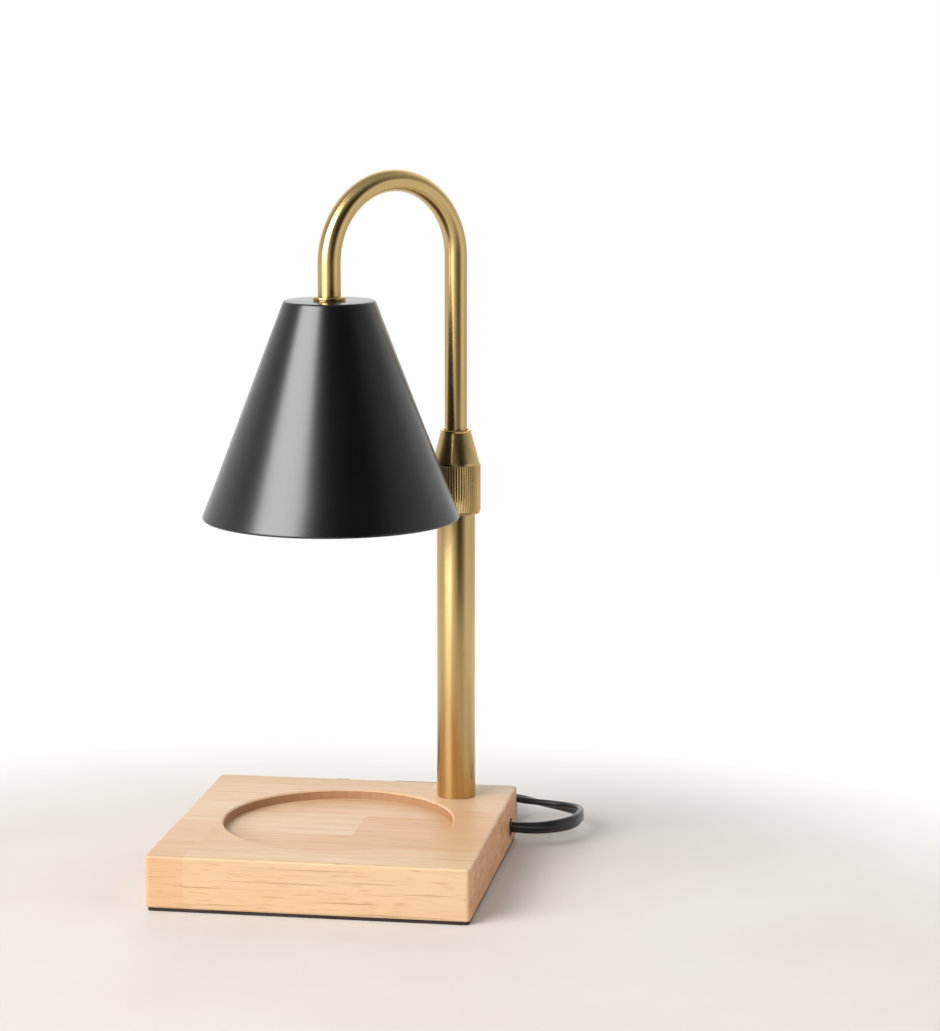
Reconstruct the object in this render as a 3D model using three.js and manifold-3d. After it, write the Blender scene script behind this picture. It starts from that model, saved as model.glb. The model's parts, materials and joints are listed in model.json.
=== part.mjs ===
// Electric candle and wax warmer: a lamp on a wooden base that melts wax from above.
// Millimetres, +Z up, the origin at the centre of the underside of the base.
import * as THREE from "three";
import { mergeVertices } from "three/addons/utils/BufferGeometryUtils.js";
import Module from "manifold-3d";

// Clearances that all pieces share
const SEAT = 0.05;
const FIT = 0.3;
const OVERRUN = 2;

// Wooden base and its foot pad
const BASE_SIDE = 130;
const WOOD_HEIGHT = 21.4;
const WOOD_CORNER_RADIUS = 1.8;
const WOOD_EDGE = 0.9;
const PAD_THICKNESS = 1.25;
const PAD_INSET = 0.7;
const RECESS_RADIUS = 47.2;
const RECESS_DEPTH = 4;
const RECESS_EDGE = 0.6;
const POCKET_RADIUS = 15;
const POCKET_CEILING = 8.4;
const CABLE_HOLE_RADIUS = 4.15;
const CABLE_HOLE_DROP = 13.15;

// Post, with its foot fixing
const POST_FROM_SIDE = 23.3;
const POST_FROM_BACK = 19.3;
const POST_RADIUS = 8.12;
const POST_WALL = 1;
const POST_LENGTH = 135.3;
const FOOT_PLUG_HEIGHT = 14;
const NIPPLE_RADIUS = 5;
const NIPPLE_BORE = 3.1;
const NIPPLE_IN_PLUG = 10;
const WASHER_RADIUS = 9;
const WASHER_THICKNESS = 1.2;
const NUT_ACROSS_FLATS = 14;
const NUT_HEIGHT = 3.5;
const NIPPLE_PROUD = 1.2;

// Sliding arm
const HEAD_X = -1.87;
const HEAD_Y = -1.18;
const ARM_TOP = 283.1;
const TUBE_RADIUS = 4.75;
const TUBE_WALL = 0.8;
const LOWER_TRAVEL = 60;
const WIRE_ROOM = 5.3;
const RAISE_TRAVEL = 20;
const BUSH_HEIGHT = 14;
const STOP_RING_HEIGHT = 1.5;
const STOP_RING_WIDTH = 1.2;

// Locking collar and the split collet under it
const COLLAR_RADIUS = 10.27;
const COLLAR_GRIP_HEIGHT = 21.8;
const COLLAR_CONE_HEIGHT = 13.2;
const COLLAR_TOP_RADIUS = 6.42;
const COLLAR_LIP_HEIGHT = 0.8;
const COLLAR_LIP_WIDTH = 0.35;
const COLLAR_ON_POST = 14;
const KNURL_DEPTH = 0.32;
const COLLET_HEAD_HEIGHT = 10;
const COLLET_HEAD_TOP_RADIUS = 5.95;
const COLLET_SLIT = 1.4;

// Shade and what holds it
const SHADE_BELOW_ARCH = 46.6;
const SHADE_HEIGHT = 87.7;
const SHADE_TOP_RADIUS = 18.44;
const SHADE_CLEAR_OF_COLLAR = 1.79;
const SHADE_WALL = 1;
const SHADE_WASHER_RADIUS = 6.76;
const SHADE_WASHER_THICKNESS = 1.7;
const END_NIPPLE_RADIUS = 3.6;
const END_NIPPLE_BORE = 2.1;
const END_NIPPLE_IN_TUBE = 14;
const END_NUT_ACROSS_FLATS = 12;
const END_NUT_HEIGHT = 3;
const BRACKET_THICKNESS = 1.2;
const BRACKET_WIDTH = 12;
const BRACKET_DROP = 20;
const BRACKET_SCREW_RADIUS = 1.5;
const BRACKET_SCREW_LENGTH = 6;
const BRACKET_SCREW_HEAD = 2.8;
const BRACKET_SCREW_HEAD_HEIGHT = 1.6;
const BRACKET_SCREW_RISE = 5;

// Twist-lock lamp holder
const HOLDER_RADIUS = 14.2;
const HOLDER_HEIGHT = 24;
const HOLDER_EDGE = 1.2;
const PIN_SPACING = 10;
const PIN_SHANK_RADIUS = 1.5;
const PIN_HEAD_RADIUS = 2.5;
const PIN_HEAD_HEIGHT = 2.4;
const SLOT_FLOOR = 3.2;
const CONTACT_THICKNESS = 1;
const TWIST_DEGREES = 25;

// Reflector bulb
const BULB_LENGTH = 50;
const BULB_RADIUS = 25;
const BULB_NECK_RADIUS = 12;
const BULB_NECK_HEIGHT = 15;
const BULB_WALL = 1.6;
const BULB_RIM_HEIGHT = 4;
const DISH_STEPS = 5;
const PIN_IN_NECK = 7;
const LENS_THICKNESS = 2;
const CAPSULE_RADIUS = 4.5;
const CAPSULE_LENGTH = 19;

// Wires inside
const WIRE_RADIUS = 1.6;
const CORE_RADIUS = 0.8;
const CAP_RADIUS = 2.7;
const CAP_LENGTH = 11;
const CAP_SPREAD = 7.4;
const SLACK_SWAY = 3.4;
const SLACK_WAVES = 2;

// Cord grip in the base
const GRIP_THICKNESS = 3.6;
const GRIP_HALF_WIDTH = 6.2;
const GRIP_FROM_POST = 9.7;
const GRIP_SCREW_RADIUS = 0.9;
const GRIP_SCREW_HEAD = 1.7;
const GRIP_SCREW_OFFSET = 4.6;
const GRIP_BELOW_CORD = 2;

// Flat twin cord
const CORD_WIDTH = 5.6;
const CORD_THICKNESS = 2.8;
const CORD_LIFT = 0.85;
const EXIT_TILT = 69;
const EXIT_GAP = 0.3;

// Hank behind the base, from the base's back right corner, with its tie
const HANK_LOOPS = 4;
const HANK_PITCH = 3.4;
const HANK_INNER_RADIUS = 14.4;
const HANK_LEFT = -105.2;
const HANK_RIGHT = -33.8;
const HANK_Y = 30.8;
const HANK_CLIMB = 6.25;
const WAIST_LEFT = -99.4;
const WAIST_RIGHT = -75.4;
const WAIST_DRAW = 2.4;
const TIE_WIDTH = 6;
const TIE_THICKNESS = 0.5;

// Dimmer on the cord, from the same corner
const DIMMER_X = -46;
const DIMMER_Y = 31.5;
const DIMMER_LENGTH = 36;
const DIMMER_WIDTH = 20;
const DIMMER_HEIGHT = 12;
const DIMMER_CORNER_RADIUS = 6;
const DIMMER_LIFT = 0.1;
const DIMMER_WALL = 1.4;
const DIMMER_AXIS_HEIGHT = 7.2;
const DIMMER_GRIP_LENGTH = 5;
const DIMMER_GRIP_WALL = 1.2;
const WHEEL_RADIUS = 8.2;
const WHEEL_THICKNESS = 3;
const WHEEL_HEIGHT = 4.8;
const WHEEL_FORWARD = 4.5;
const WHEEL_AXLE_RADIUS = 1.5;
const WHEEL_RIDGE_DEPTH = 0.35;
const BOARD_THICKNESS = 1;
const DIMMER_SCREW_RADIUS = 0.9;
const DIMMER_BOSS_RADIUS = 2.1;
const DIMMER_SCREW_HEAD = 1.6;

// Flat two-blade plug, which rests on the hank, from the same corner
const PLUG_X = -57;
const PLUG_Y = 11;
const PLUG_LENGTH = 24;
const PLUG_WIDTH = 19;
const PLUG_HEIGHT = 9.8;
const PLUG_CORNER_RADIUS = 3;
const BOOT_LENGTH = 20;
const BOOT_TIP_WALL = 0.9;
const BLADE_SPACING = 12.7;
const BLADE_LENGTH = 16.5;
const BLADE_IN_PLUG = 6;
const BLADE_THICKNESS = 1.5;
const BLADE_WIDTH = 6.35;
const WIDE_BLADE_WIDTH = 7.9;
const BLADE_HOLE_RADIUS = 1.6;
const BLADE_HOLE_FROM_TIP = 4;

// Counts of sides and steps, and shares of a size
const KNURL_RIDGES = 60;
const WHEEL_RIDGES = 26;
const NECK_STEPS = 20;
const NECK_SIDES = 20;
const ROUND_SIDES = 32;
const WIDE_SIDES = 56;
const SMALL_SIDES = 12;
const WIRE_SIDES = 8;
const FOLD_STEPS = 7;
const WAIST_STEP_SHARES = [0, 0.36, 0.64, 1];
const WAIST_DRAW_SHARES = [0, 1, 1, 0];
const LOOP_SECTION_SHARES = [
  [0, 1], [-1, 0.5], [-1, -0.5], [0, -1], [1, -0.5], [1, 0.5],
];
const CORD_SECTION_SHARES = [
  [0.5, 1], [-0.5, 1], [-1, 0.6], [-1, -0.6],
  [-0.5, -1], [0.5, -1], [1, -0.6], [1, 0.6],
];
const LAMP_CORE_SHARES = [[0.27, 0.24], [0.6, 0.46], [0.71, 0.68]];
const MAINS_CORE_SHARES = [[0.755, 0.46, 0.9], [0.755, 0.84, 0.63], [0.69, 1.08, 0.2]];
const WELD = 1e-4;

// Heights and places that follow from the sizes above
const WOOD_TOP = PAD_THICKNESS + WOOD_HEIGHT;
const BASE_HALF = BASE_SIDE / 2;
const POST_X = BASE_HALF - POST_FROM_SIDE;
const POST_Y = BASE_HALF - POST_FROM_BACK;
const ARM_REACH = Math.hypot(POST_X - HEAD_X, POST_Y - HEAD_Y);
const ARM_BEARING = Math.atan2(HEAD_Y - POST_Y, HEAD_X - POST_X);
const POCKET_TOP = WOOD_TOP - POCKET_CEILING;
const CABLE_HOLE_HEIGHT = WOOD_TOP - CABLE_HOLE_DROP;
const POST_FOOT = WOOD_TOP + SEAT;
const POST_TOP = POST_FOOT + POST_LENGTH;
const POST_BORE = POST_RADIUS - POST_WALL;
const FOOT_PLUG_TOP = POST_FOOT + FOOT_PLUG_HEIGHT;
const NUT_TOP = POCKET_TOP - SEAT - WASHER_THICKNESS - SEAT;
const NUT_BOTTOM = NUT_TOP - NUT_HEIGHT;
const NIPPLE_BOTTOM = NUT_BOTTOM - NIPPLE_PROUD;
const LOWER_RING_BOTTOM = FOOT_PLUG_TOP + LOWER_TRAVEL + WIRE_ROOM;
const BUSH_BOTTOM = LOWER_RING_BOTTOM + STOP_RING_HEIGHT + FIT;
const BUSH_TOP = BUSH_BOTTOM + BUSH_HEIGHT;
const UPPER_RING_TOP = BUSH_TOP + FIT + STOP_RING_HEIGHT;
const COLLET_BOTTOM = UPPER_RING_TOP + RAISE_TRAVEL + FIT;
const COLLAR_BOTTOM = POST_TOP - COLLAR_ON_POST;
const COLLAR_SHOULDER = COLLAR_BOTTOM + COLLAR_GRIP_HEIGHT;
const COLLAR_TOP = COLLAR_SHOULDER + COLLAR_CONE_HEIGHT;
const TUBE_BORE = TUBE_RADIUS - TUBE_WALL;
const ARM_SPRING = ARM_TOP - ARM_REACH / 2;
const SHADE_TOP = ARM_TOP - SHADE_BELOW_ARCH;
const SHADE_BOTTOM_RADIUS = ARM_REACH - COLLAR_RADIUS - SHADE_CLEAR_OF_COLLAR;
const TUBE_END = SHADE_TOP + SEAT + SHADE_WASHER_THICKNESS + SEAT;
const SHADE_BOTTOM = SHADE_TOP - SHADE_HEIGHT;
const SHADE_UNDERSIDE = SHADE_TOP - SHADE_WALL;
const BRACKET_TOP = SHADE_UNDERSIDE - SEAT;
const BRACKET_UNDERSIDE = BRACKET_TOP - BRACKET_THICKNESS;
const END_NUT_TOP = BRACKET_UNDERSIDE - SEAT;
const END_NUT_BOTTOM = END_NUT_TOP - END_NUT_HEIGHT;
const HOLDER_TOP = END_NUT_BOTTOM - FIT;
const HOLDER_BOTTOM = HOLDER_TOP - HOLDER_HEIGHT;
const PIN_HEAD_BOTTOM = HOLDER_BOTTOM + SLOT_FLOOR + FIT;
const PIN_HEAD_TOP = PIN_HEAD_BOTTOM + PIN_HEAD_HEIGHT;
const CHAMBER_TOP = PIN_HEAD_TOP + FIT + CONTACT_THICKNESS + SEAT;
const NECK_TOP = HOLDER_BOTTOM - FIT;
const NECK_BOTTOM = NECK_TOP - BULB_NECK_HEIGHT;
const BULB_FACE = NECK_TOP - BULB_LENGTH;
const BULB_RIM = BULB_FACE + BULB_RIM_HEIGHT;
const HANK_HEIGHT = CORD_LIFT + CORD_WIDTH / 2;
const HANK_TOP = CORD_LIFT + CORD_WIDTH;
const HANK_START = HANK_LEFT + CORD_WIDTH + EXIT_GAP;
const HANK_OUTER_RADIUS = HANK_INNER_RADIUS + HANK_LOOPS * HANK_PITCH;
const DIMMER_TOP = DIMMER_LIFT + DIMMER_HEIGHT;
const DIMMER_SPLIT = DIMMER_LIFT + DIMMER_HEIGHT / 2;
const DIMMER_GRIP_WIDTH = CORD_WIDTH + 2 * (FIT + DIMMER_GRIP_WALL);
const DIMMER_REACH = DIMMER_LENGTH / 2 + DIMMER_GRIP_LENGTH;
const PLUG_BOTTOM = HANK_TOP + FIT;
const PLUG_AXIS_HEIGHT = PLUG_BOTTOM + PLUG_HEIGHT / 2;
const BOOT_TIP = PLUG_X - BOOT_LENGTH;

const wasm = await Module();
wasm.setup();

// A closed geometry as a solid, its shared corners welded and its empty faces left out
function solid(geometry) {
  const bare = new THREE.BufferGeometry();
  bare.setAttribute("position", geometry.getAttribute("position"));
  if (geometry.index) bare.setIndex(geometry.index);
  const welded = mergeVertices(bare, WELD);
  const corners = welded.index.array;
  const faces = [];
  for (let i = 0; i < corners.length; i += 3) {
    const [a, b, c] = corners.subarray(i, i + 3);
    if (a !== b && b !== c && c !== a) faces.push(a, b, c);
  }
  const body = new wasm.Manifold(
    new wasm.Mesh({
      numProp: 3,
      vertProperties: welded.attributes.position.array,
      triVerts: new Uint32Array(faces),
    }),
  );
  if (body.volume() < 0) throw new Error("an outline or a profile runs the wrong way round");
  return body;
}

const join = (first, ...others) => others.reduce((sum, next) => sum.add(next), first);
const cut = (body, ...tools) => tools.reduce((rest, tool) => rest.subtract(tool), body);

// Upright cylinder between two heights
function cylinder(radius, low, high, sides = ROUND_SIDES, x = 0, y = 0) {
  const geometry = new THREE.CylinderGeometry(radius, radius, high - low, sides);
  geometry.rotateX(Math.PI / 2);
  geometry.translate(x, y, (low + high) / 2);
  return solid(geometry);
}

// Cylinder or cone between two points
function rod(start, end, radius, sides = SMALL_SIDES, endRadius = radius) {
  const from = new THREE.Vector3(...start);
  const along = new THREE.Vector3(...end).sub(from);
  const geometry = new THREE.CylinderGeometry(endRadius, radius, along.length(), sides);
  const up = new THREE.Vector3(0, 1, 0);
  const turn = new THREE.Quaternion().setFromUnitVectors(up, along.clone().normalize());
  geometry.applyQuaternion(turn);
  const middle = from.addScaledVector(along, 1 / 2);
  geometry.translate(middle.x, middle.y, middle.z);
  return solid(geometry);
}

function block(lowX, highX, lowY, highY, lowZ, highZ) {
  const geometry = new THREE.BoxGeometry(highX - lowX, highY - lowY, highZ - lowZ);
  geometry.translate((lowX + highX) / 2, (lowY + highY) / 2, (lowZ + highZ) / 2);
  return solid(geometry);
}

// Solid of revolution round Z from radius and height pairs, listed up the outside first
function turned(profile, sides = ROUND_SIDES) {
  const points = profile.map(([radius, height]) => new THREE.Vector2(radius, height));
  if (points[0].x > 0) points.push(points[0].clone());
  const geometry = new THREE.LatheGeometry(points, sides);
  geometry.rotateX(Math.PI / 2);
  return solid(geometry);
}

// Outline pushed up from one height to another, with an optional rounded edge
function slab(outline, low, high, edge = 0, cornerSteps = 3) {
  const geometry = new THREE.ExtrudeGeometry(outline, {
    depth: high - low - 2 * edge,
    curveSegments: cornerSteps,
    bevelEnabled: edge > 0,
    bevelThickness: edge,
    bevelSize: edge,
    bevelOffset: -edge,
    bevelSegments: 2,
  });
  geometry.translate(0, 0, low + edge);
  return solid(geometry);
}

function roundedRectangle(lowX, highX, lowY, highY, radius) {
  const outline = new THREE.Shape();
  outline.absarc(highX - radius, lowY + radius, radius, -Math.PI / 2, 0, false);
  outline.absarc(highX - radius, highY - radius, radius, 0, Math.PI / 2, false);
  outline.absarc(lowX + radius, highY - radius, radius, Math.PI / 2, Math.PI, false);
  outline.absarc(lowX + radius, lowY + radius, radius, Math.PI, Math.PI * 1.5, false);
  return outline;
}

function ridgedCircle(radius, depth, ridges) {
  const points = [];
  for (let i = 0; i < 2 * ridges; i++) {
    const r = i % 2 ? radius - depth : radius;
    const angle = (i * Math.PI) / ridges;
    points.push(new THREE.Vector2(r * Math.cos(angle), r * Math.sin(angle)));
  }
  return new THREE.Shape(points);
}

// Curved slot with round ends, between two angles on a circle round the axis
function kidney(middle, half, start, end) {
  const outline = new THREE.Shape();
  const at = (angle) => [middle * Math.cos(angle), middle * Math.sin(angle)];
  outline.absarc(0, 0, middle + half, start, end, false);
  outline.absarc(...at(end), half, end, end + Math.PI, false);
  outline.absarc(0, 0, middle - half, end, start, true);
  outline.absarc(...at(start), half, start - Math.PI, start, false);
  return outline;
}

// Round tube or wire along a path
function strand(path, radius, steps, sides = WIRE_SIDES) {
  const points = [];
  for (let i = 0; i < sides; i++) {
    const angle = (i * 2 * Math.PI) / sides;
    points.push(new THREE.Vector2(radius * Math.cos(angle), radius * Math.sin(angle)));
  }
  const section = new THREE.Shape(points);
  return solid(new THREE.ExtrudeGeometry(section, { steps, extrudePath: path }));
}

const curve = (points) =>
  new THREE.CatmullRomCurve3(points.map((point) => new THREE.Vector3(...point)));

// Solid from the corners and the faces of its skin
function shell(corners, faces) {
  const geometry = new THREE.BufferGeometry();
  geometry.setAttribute("position", new THREE.Float32BufferAttribute(corners, 3));
  geometry.setIndex(faces);
  return solid(geometry);
}

// Flat cord along stations, each with a place and a tilt from standing on edge, in degrees
function flatCord(stations, sectionShares) {
  const places = stations.map((station) => new THREE.Vector3(...station.at));
  const corners = [];
  places.forEach((place, i) => {
    const before = places[Math.max(i - 1, 0)];
    const after = places[Math.min(i + 1, places.length - 1)];
    const ahead = after.clone().sub(before).normalize();
    const level = new THREE.Vector3(-ahead.y, ahead.x, 0).normalize();
    const upright = ahead.clone().cross(level);
    const tilt = THREE.MathUtils.degToRad(stations[i].tilt ?? 0);
    const wide = upright.clone().multiplyScalar(Math.cos(tilt));
    wide.addScaledVector(level, Math.sin(tilt));
    const thin = wide.clone().cross(ahead);
    for (const [thinShare, wideShare] of sectionShares) {
      const corner = place.clone();
      corner.addScaledVector(thin, (thinShare * CORD_THICKNESS) / 2);
      corner.addScaledVector(wide, (wideShare * CORD_WIDTH) / 2);
      corners.push(...corner.toArray());
    }
  });
  const sides = sectionShares.length;
  const last = (places.length - 1) * sides;
  const faces = [];
  for (let ring = 0; ring < last; ring += sides) {
    for (let side = 0; side < sides; side++) {
      const next = (side + 1) % sides;
      faces.push(ring + side, ring + next, ring + sides + next);
      faces.push(ring + side, ring + sides + next, ring + sides + side);
    }
  }
  for (let side = 1; side < sides - 1; side++) {
    faces.push(0, side + 1, side);
    faces.push(last, last + side, last + side + 1);
  }
  return shell(corners, faces);
}

const finish = (color, roughness, metalness) =>
  new THREE.MeshStandardMaterial({ color, roughness, metalness });
const brass = () => finish(0xb79a5c, 0.22, 1);
const steel = () => finish(0xb9bcc0, 0.35, 1);
const wood = () => finish(0xe6bf94, 0.6, 0);
const blackPaint = () => finish(0x151515, 0.38, 0.1);
const blackPlastic = () => finish(0x1b1b1c, 0.5, 0);
const blackFoam = () => finish(0x17120f, 0.9, 0);
const whiteNylon = () => finish(0xe8e6df, 0.55, 0);
const ceramic = () => finish(0xf1efe8, 0.45, 0);
const glass = () => finish(0xf4f6f5, 0.08, 0);
const cordJacket = () => finish(0x141312, 0.45, 0);
const greenBoard = () => finish(0x2f6b3c, 0.5, 0);
const cloth = () => finish(0x202022, 0.9, 0);

const warmer = new THREE.Group();

function place(group, name, body, material) {
  const made = body.getMesh();
  const geometry = new THREE.BufferGeometry();
  geometry.setAttribute("position", new THREE.BufferAttribute(made.vertProperties, 3));
  geometry.setIndex(new THREE.BufferAttribute(made.triVerts, 1));
  const mesh = new THREE.Mesh(geometry, material);
  mesh.name = name;
  group.add(mesh);
}

// Base
const post = new THREE.Group();
post.position.set(POST_X, POST_Y, 0);
warmer.add(post);

function woodBase() {
  const outline = roundedRectangle(-BASE_HALF, BASE_HALF, -BASE_HALF, BASE_HALF,
    WOOD_CORNER_RADIUS);
  const board = slab(outline, PAD_THICKNESS + SEAT, WOOD_TOP, WOOD_EDGE);
  const recess = turned([
    [0, WOOD_TOP - RECESS_DEPTH],
    [RECESS_RADIUS, WOOD_TOP - RECESS_DEPTH],
    [RECESS_RADIUS, WOOD_TOP - RECESS_EDGE],
    [RECESS_RADIUS + RECESS_EDGE, WOOD_TOP],
    [RECESS_RADIUS + RECESS_EDGE, WOOD_TOP + OVERRUN],
    [0, WOOD_TOP + OVERRUN],
  ], WIDE_SIDES);
  const bore = cylinder(NIPPLE_RADIUS + FIT, POCKET_TOP - OVERRUN, WOOD_TOP + OVERRUN,
    SMALL_SIDES * 2, POST_X, POST_Y);
  const pocket = cylinder(POCKET_RADIUS, -OVERRUN, POCKET_TOP, ROUND_SIDES, POST_X, POST_Y);
  const cableHole = rod([POST_X + POCKET_RADIUS / 2, POST_Y, CABLE_HOLE_HEIGHT],
    [BASE_HALF + OVERRUN, POST_Y, CABLE_HOLE_HEIGHT], CABLE_HOLE_RADIUS, SMALL_SIDES * 2);
  return cut(board, recess, bore, pocket, cableHole);
}

function footPad() {
  const half = BASE_HALF - PAD_INSET;
  return slab(roundedRectangle(-half, half, -half, half, WOOD_CORNER_RADIUS), 0,
    PAD_THICKNESS);
}

place(warmer, "wood_base", woodBase(), wood());
place(warmer, "foot_pad", footPad(), blackFoam());

// Post and the nipple, washer and nut that clamp it to the wood
function hexagon(acrossFlats, low, high) {
  return cylinder(acrossFlats / Math.sqrt(3), low, high, 6);
}

const nippleTop = POST_FOOT + NIPPLE_IN_PLUG;
const postTube = cut(cylinder(POST_RADIUS, POST_FOOT, POST_TOP),
  cylinder(POST_BORE, POST_FOOT - OVERRUN, POST_TOP + OVERRUN));
const footPlug = cut(cylinder(POST_BORE - FIT, POST_FOOT, FOOT_PLUG_TOP),
  cylinder(NIPPLE_RADIUS + FIT, POST_FOOT - OVERRUN, nippleTop + FIT, SMALL_SIDES * 2),
  cylinder(NIPPLE_BORE, POST_FOOT, FOOT_PLUG_TOP + OVERRUN, SMALL_SIDES));
const nipple = cut(cylinder(NIPPLE_RADIUS, NIPPLE_BOTTOM, nippleTop, SMALL_SIDES * 2),
  cylinder(NIPPLE_BORE, NIPPLE_BOTTOM - OVERRUN, nippleTop + OVERRUN, SMALL_SIDES));
const nippleHole = cylinder(NIPPLE_RADIUS + FIT, NIPPLE_BOTTOM, POST_FOOT, SMALL_SIDES * 2);
const baseWasher = cut(cylinder(WASHER_RADIUS, NUT_TOP + SEAT, POCKET_TOP - SEAT), nippleHole);
const baseNut = cut(hexagon(NUT_ACROSS_FLATS, NUT_BOTTOM, NUT_TOP), nippleHole);
place(post, "post_tube", postTube, brass());
place(post, "post_foot_plug", footPlug, steel());
place(post, "post_nipple", nipple, steel());
place(post, "base_washer", baseWasher, steel());
place(post, "base_nut", baseNut, steel());

// Split collet that grips the arm when the collar is turned tight
function collet() {
  const ring = turned([
    [POST_BORE - FIT, COLLET_BOTTOM],
    [POST_BORE - FIT, POST_TOP + SEAT],
    [POST_RADIUS - FIT, POST_TOP + SEAT],
    [COLLET_HEAD_TOP_RADIUS, POST_TOP + COLLET_HEAD_HEIGHT],
    [TUBE_RADIUS + FIT, POST_TOP + COLLET_HEAD_HEIGHT],
    [TUBE_RADIUS + FIT, COLLET_BOTTOM],
  ]);
  const slit = block(0, POST_RADIUS + OVERRUN, -COLLET_SLIT / 2, COLLET_SLIT / 2,
    COLLET_BOTTOM - OVERRUN, POST_TOP + COLLET_HEAD_HEIGHT + OVERRUN);
  return cut(ring, slit);
}

function lockingCollar() {
  const grip = slab(ridgedCircle(COLLAR_RADIUS, KNURL_DEPTH, KNURL_RIDGES), COLLAR_BOTTOM,
    COLLAR_SHOULDER);
  const cone = turned([
    [0, COLLAR_SHOULDER],
    [COLLAR_RADIUS - KNURL_DEPTH / 2, COLLAR_SHOULDER],
    [COLLAR_TOP_RADIUS, COLLAR_TOP - COLLAR_LIP_HEIGHT],
    [COLLAR_TOP_RADIUS + COLLAR_LIP_WIDTH, COLLAR_TOP - COLLAR_LIP_HEIGHT],
    [COLLAR_TOP_RADIUS + COLLAR_LIP_WIDTH, COLLAR_TOP],
    [0, COLLAR_TOP],
  ]);
  const hollow = turned([
    [0, COLLAR_BOTTOM - OVERRUN],
    [POST_RADIUS + FIT, COLLAR_BOTTOM - OVERRUN],
    [POST_RADIUS + FIT, POST_TOP + FIT],
    [COLLET_HEAD_TOP_RADIUS + FIT, POST_TOP + COLLET_HEAD_HEIGHT + FIT],
    [TUBE_RADIUS + FIT, POST_TOP + COLLET_HEAD_HEIGHT + FIT],
    [TUBE_RADIUS + FIT, COLLAR_TOP + OVERRUN],
    [0, COLLAR_TOP + OVERRUN],
  ]);
  return cut(join(grip, cone), hollow);
}

place(post, "collet", collet(), whiteNylon());
place(post, "locking_collar", lockingCollar(), brass());

// Guide bush that slides in the post and lets the arm turn in it
const guideBush = cut(cylinder(POST_BORE - FIT, BUSH_BOTTOM, BUSH_TOP),
  cylinder(TUBE_RADIUS + FIT, BUSH_BOTTOM - OVERRUN, BUSH_TOP + OVERRUN));
place(post, "guide_bush", guideBush, whiteNylon());

// Arm: a swan-neck tube that slides and turns in the post
const arm = new THREE.Group();
arm.rotation.z = ARM_BEARING;
post.add(arm);

// One step up the long leg, even steps round the arch and one step down the short leg
class Neck extends THREE.Curve {
  constructor(low, end) {
    super();
    this.low = low;
    this.end = end;
  }

  archShare(share) {
    return (share * NECK_STEPS - 1) / (NECK_STEPS - 2);
  }

  getPointAt(share, target = new THREE.Vector3()) {
    const arch = this.archShare(share);
    if (arch < 0) return target.set(0, 0, this.low);
    if (arch > 1 + WELD) return target.set(ARM_REACH, 0, this.end);
    const half = ARM_REACH / 2;
    const angle = Math.PI * (1 - arch);
    return target.set(half + half * Math.cos(angle), 0, ARM_SPRING + half * Math.sin(angle));
  }

  getTangentAt(share, target = new THREE.Vector3()) {
    const arch = THREE.MathUtils.clamp(this.archShare(share), 0, 1);
    const angle = Math.PI * (1 - arch);
    return target.set(Math.sin(angle), 0, -Math.cos(angle)).normalize();
  }
}

const neck = (low, end, radius, sides) => strand(new Neck(low, end), radius, NECK_STEPS, sides);
const armTube = cut(neck(LOWER_RING_BOTTOM, TUBE_END, TUBE_RADIUS, NECK_SIDES),
  neck(LOWER_RING_BOTTOM - OVERRUN, TUBE_END - OVERRUN, TUBE_BORE, SMALL_SIDES));
place(arm, "arm_tube", armTube, brass());

function stopRing(low) {
  return cut(cylinder(TUBE_RADIUS + STOP_RING_WIDTH + FIT, low, low + STOP_RING_HEIGHT),
    cylinder(TUBE_RADIUS + FIT, low - OVERRUN, low + STOP_RING_HEIGHT + OVERRUN));
}

place(arm, "lower_stop_ring", stopRing(LOWER_RING_BOTTOM), steel());
place(arm, "upper_stop_ring", stopRing(BUSH_TOP + FIT), steel());

place(arm, "arm_wire", neck(LOWER_RING_BOTTOM + SEAT, HOLDER_TOP + SEAT, WIRE_RADIUS,
  LOOP_SECTION_SHARES.length), ceramic());

// Lamp head, on the axis of the short leg of the arm
const head = new THREE.Group();
head.position.set(ARM_REACH, 0, 0);
arm.add(head);

const nippleClear = cylinder(END_NIPPLE_RADIUS + FIT, HOLDER_TOP, TUBE_END + OVERRUN,
  SMALL_SIDES);

function shade() {
  const slope = (SHADE_BOTTOM_RADIUS - SHADE_TOP_RADIUS) / SHADE_HEIGHT;
  const wall = SHADE_WALL * Math.hypot(1, slope);
  const innerTop = SHADE_TOP_RADIUS + slope * SHADE_WALL - wall;
  const cone = turned([
    [0, SHADE_UNDERSIDE],
    [innerTop, SHADE_UNDERSIDE],
    [SHADE_BOTTOM_RADIUS - wall, SHADE_BOTTOM],
    [SHADE_BOTTOM_RADIUS, SHADE_BOTTOM],
    [SHADE_TOP_RADIUS, SHADE_TOP],
    [0, SHADE_TOP],
  ], WIDE_SIDES);
  return cut(cone, nippleClear);
}

const endNipple = cut(
  cylinder(END_NIPPLE_RADIUS, END_NUT_BOTTOM, TUBE_END + END_NIPPLE_IN_TUBE, SMALL_SIDES),
  cylinder(END_NIPPLE_BORE, END_NUT_BOTTOM - OVERRUN, TUBE_END + END_NIPPLE_IN_TUBE + OVERRUN,
    WIRE_SIDES));
const shadeWasher = cut(
  cylinder(SHADE_WASHER_RADIUS, SHADE_TOP + SEAT, SHADE_TOP + SEAT + SHADE_WASHER_THICKNESS),
  nippleClear);
const endNut = cut(hexagon(END_NUT_ACROSS_FLATS, END_NUT_BOTTOM, END_NUT_TOP), nippleClear);

const bracketHalf = HOLDER_RADIUS + FIT + BRACKET_THICKNESS;
const bracketFoot = BRACKET_TOP - BRACKET_DROP;
const bracketScrewHeight = bracketFoot + BRACKET_SCREW_RISE;

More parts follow.
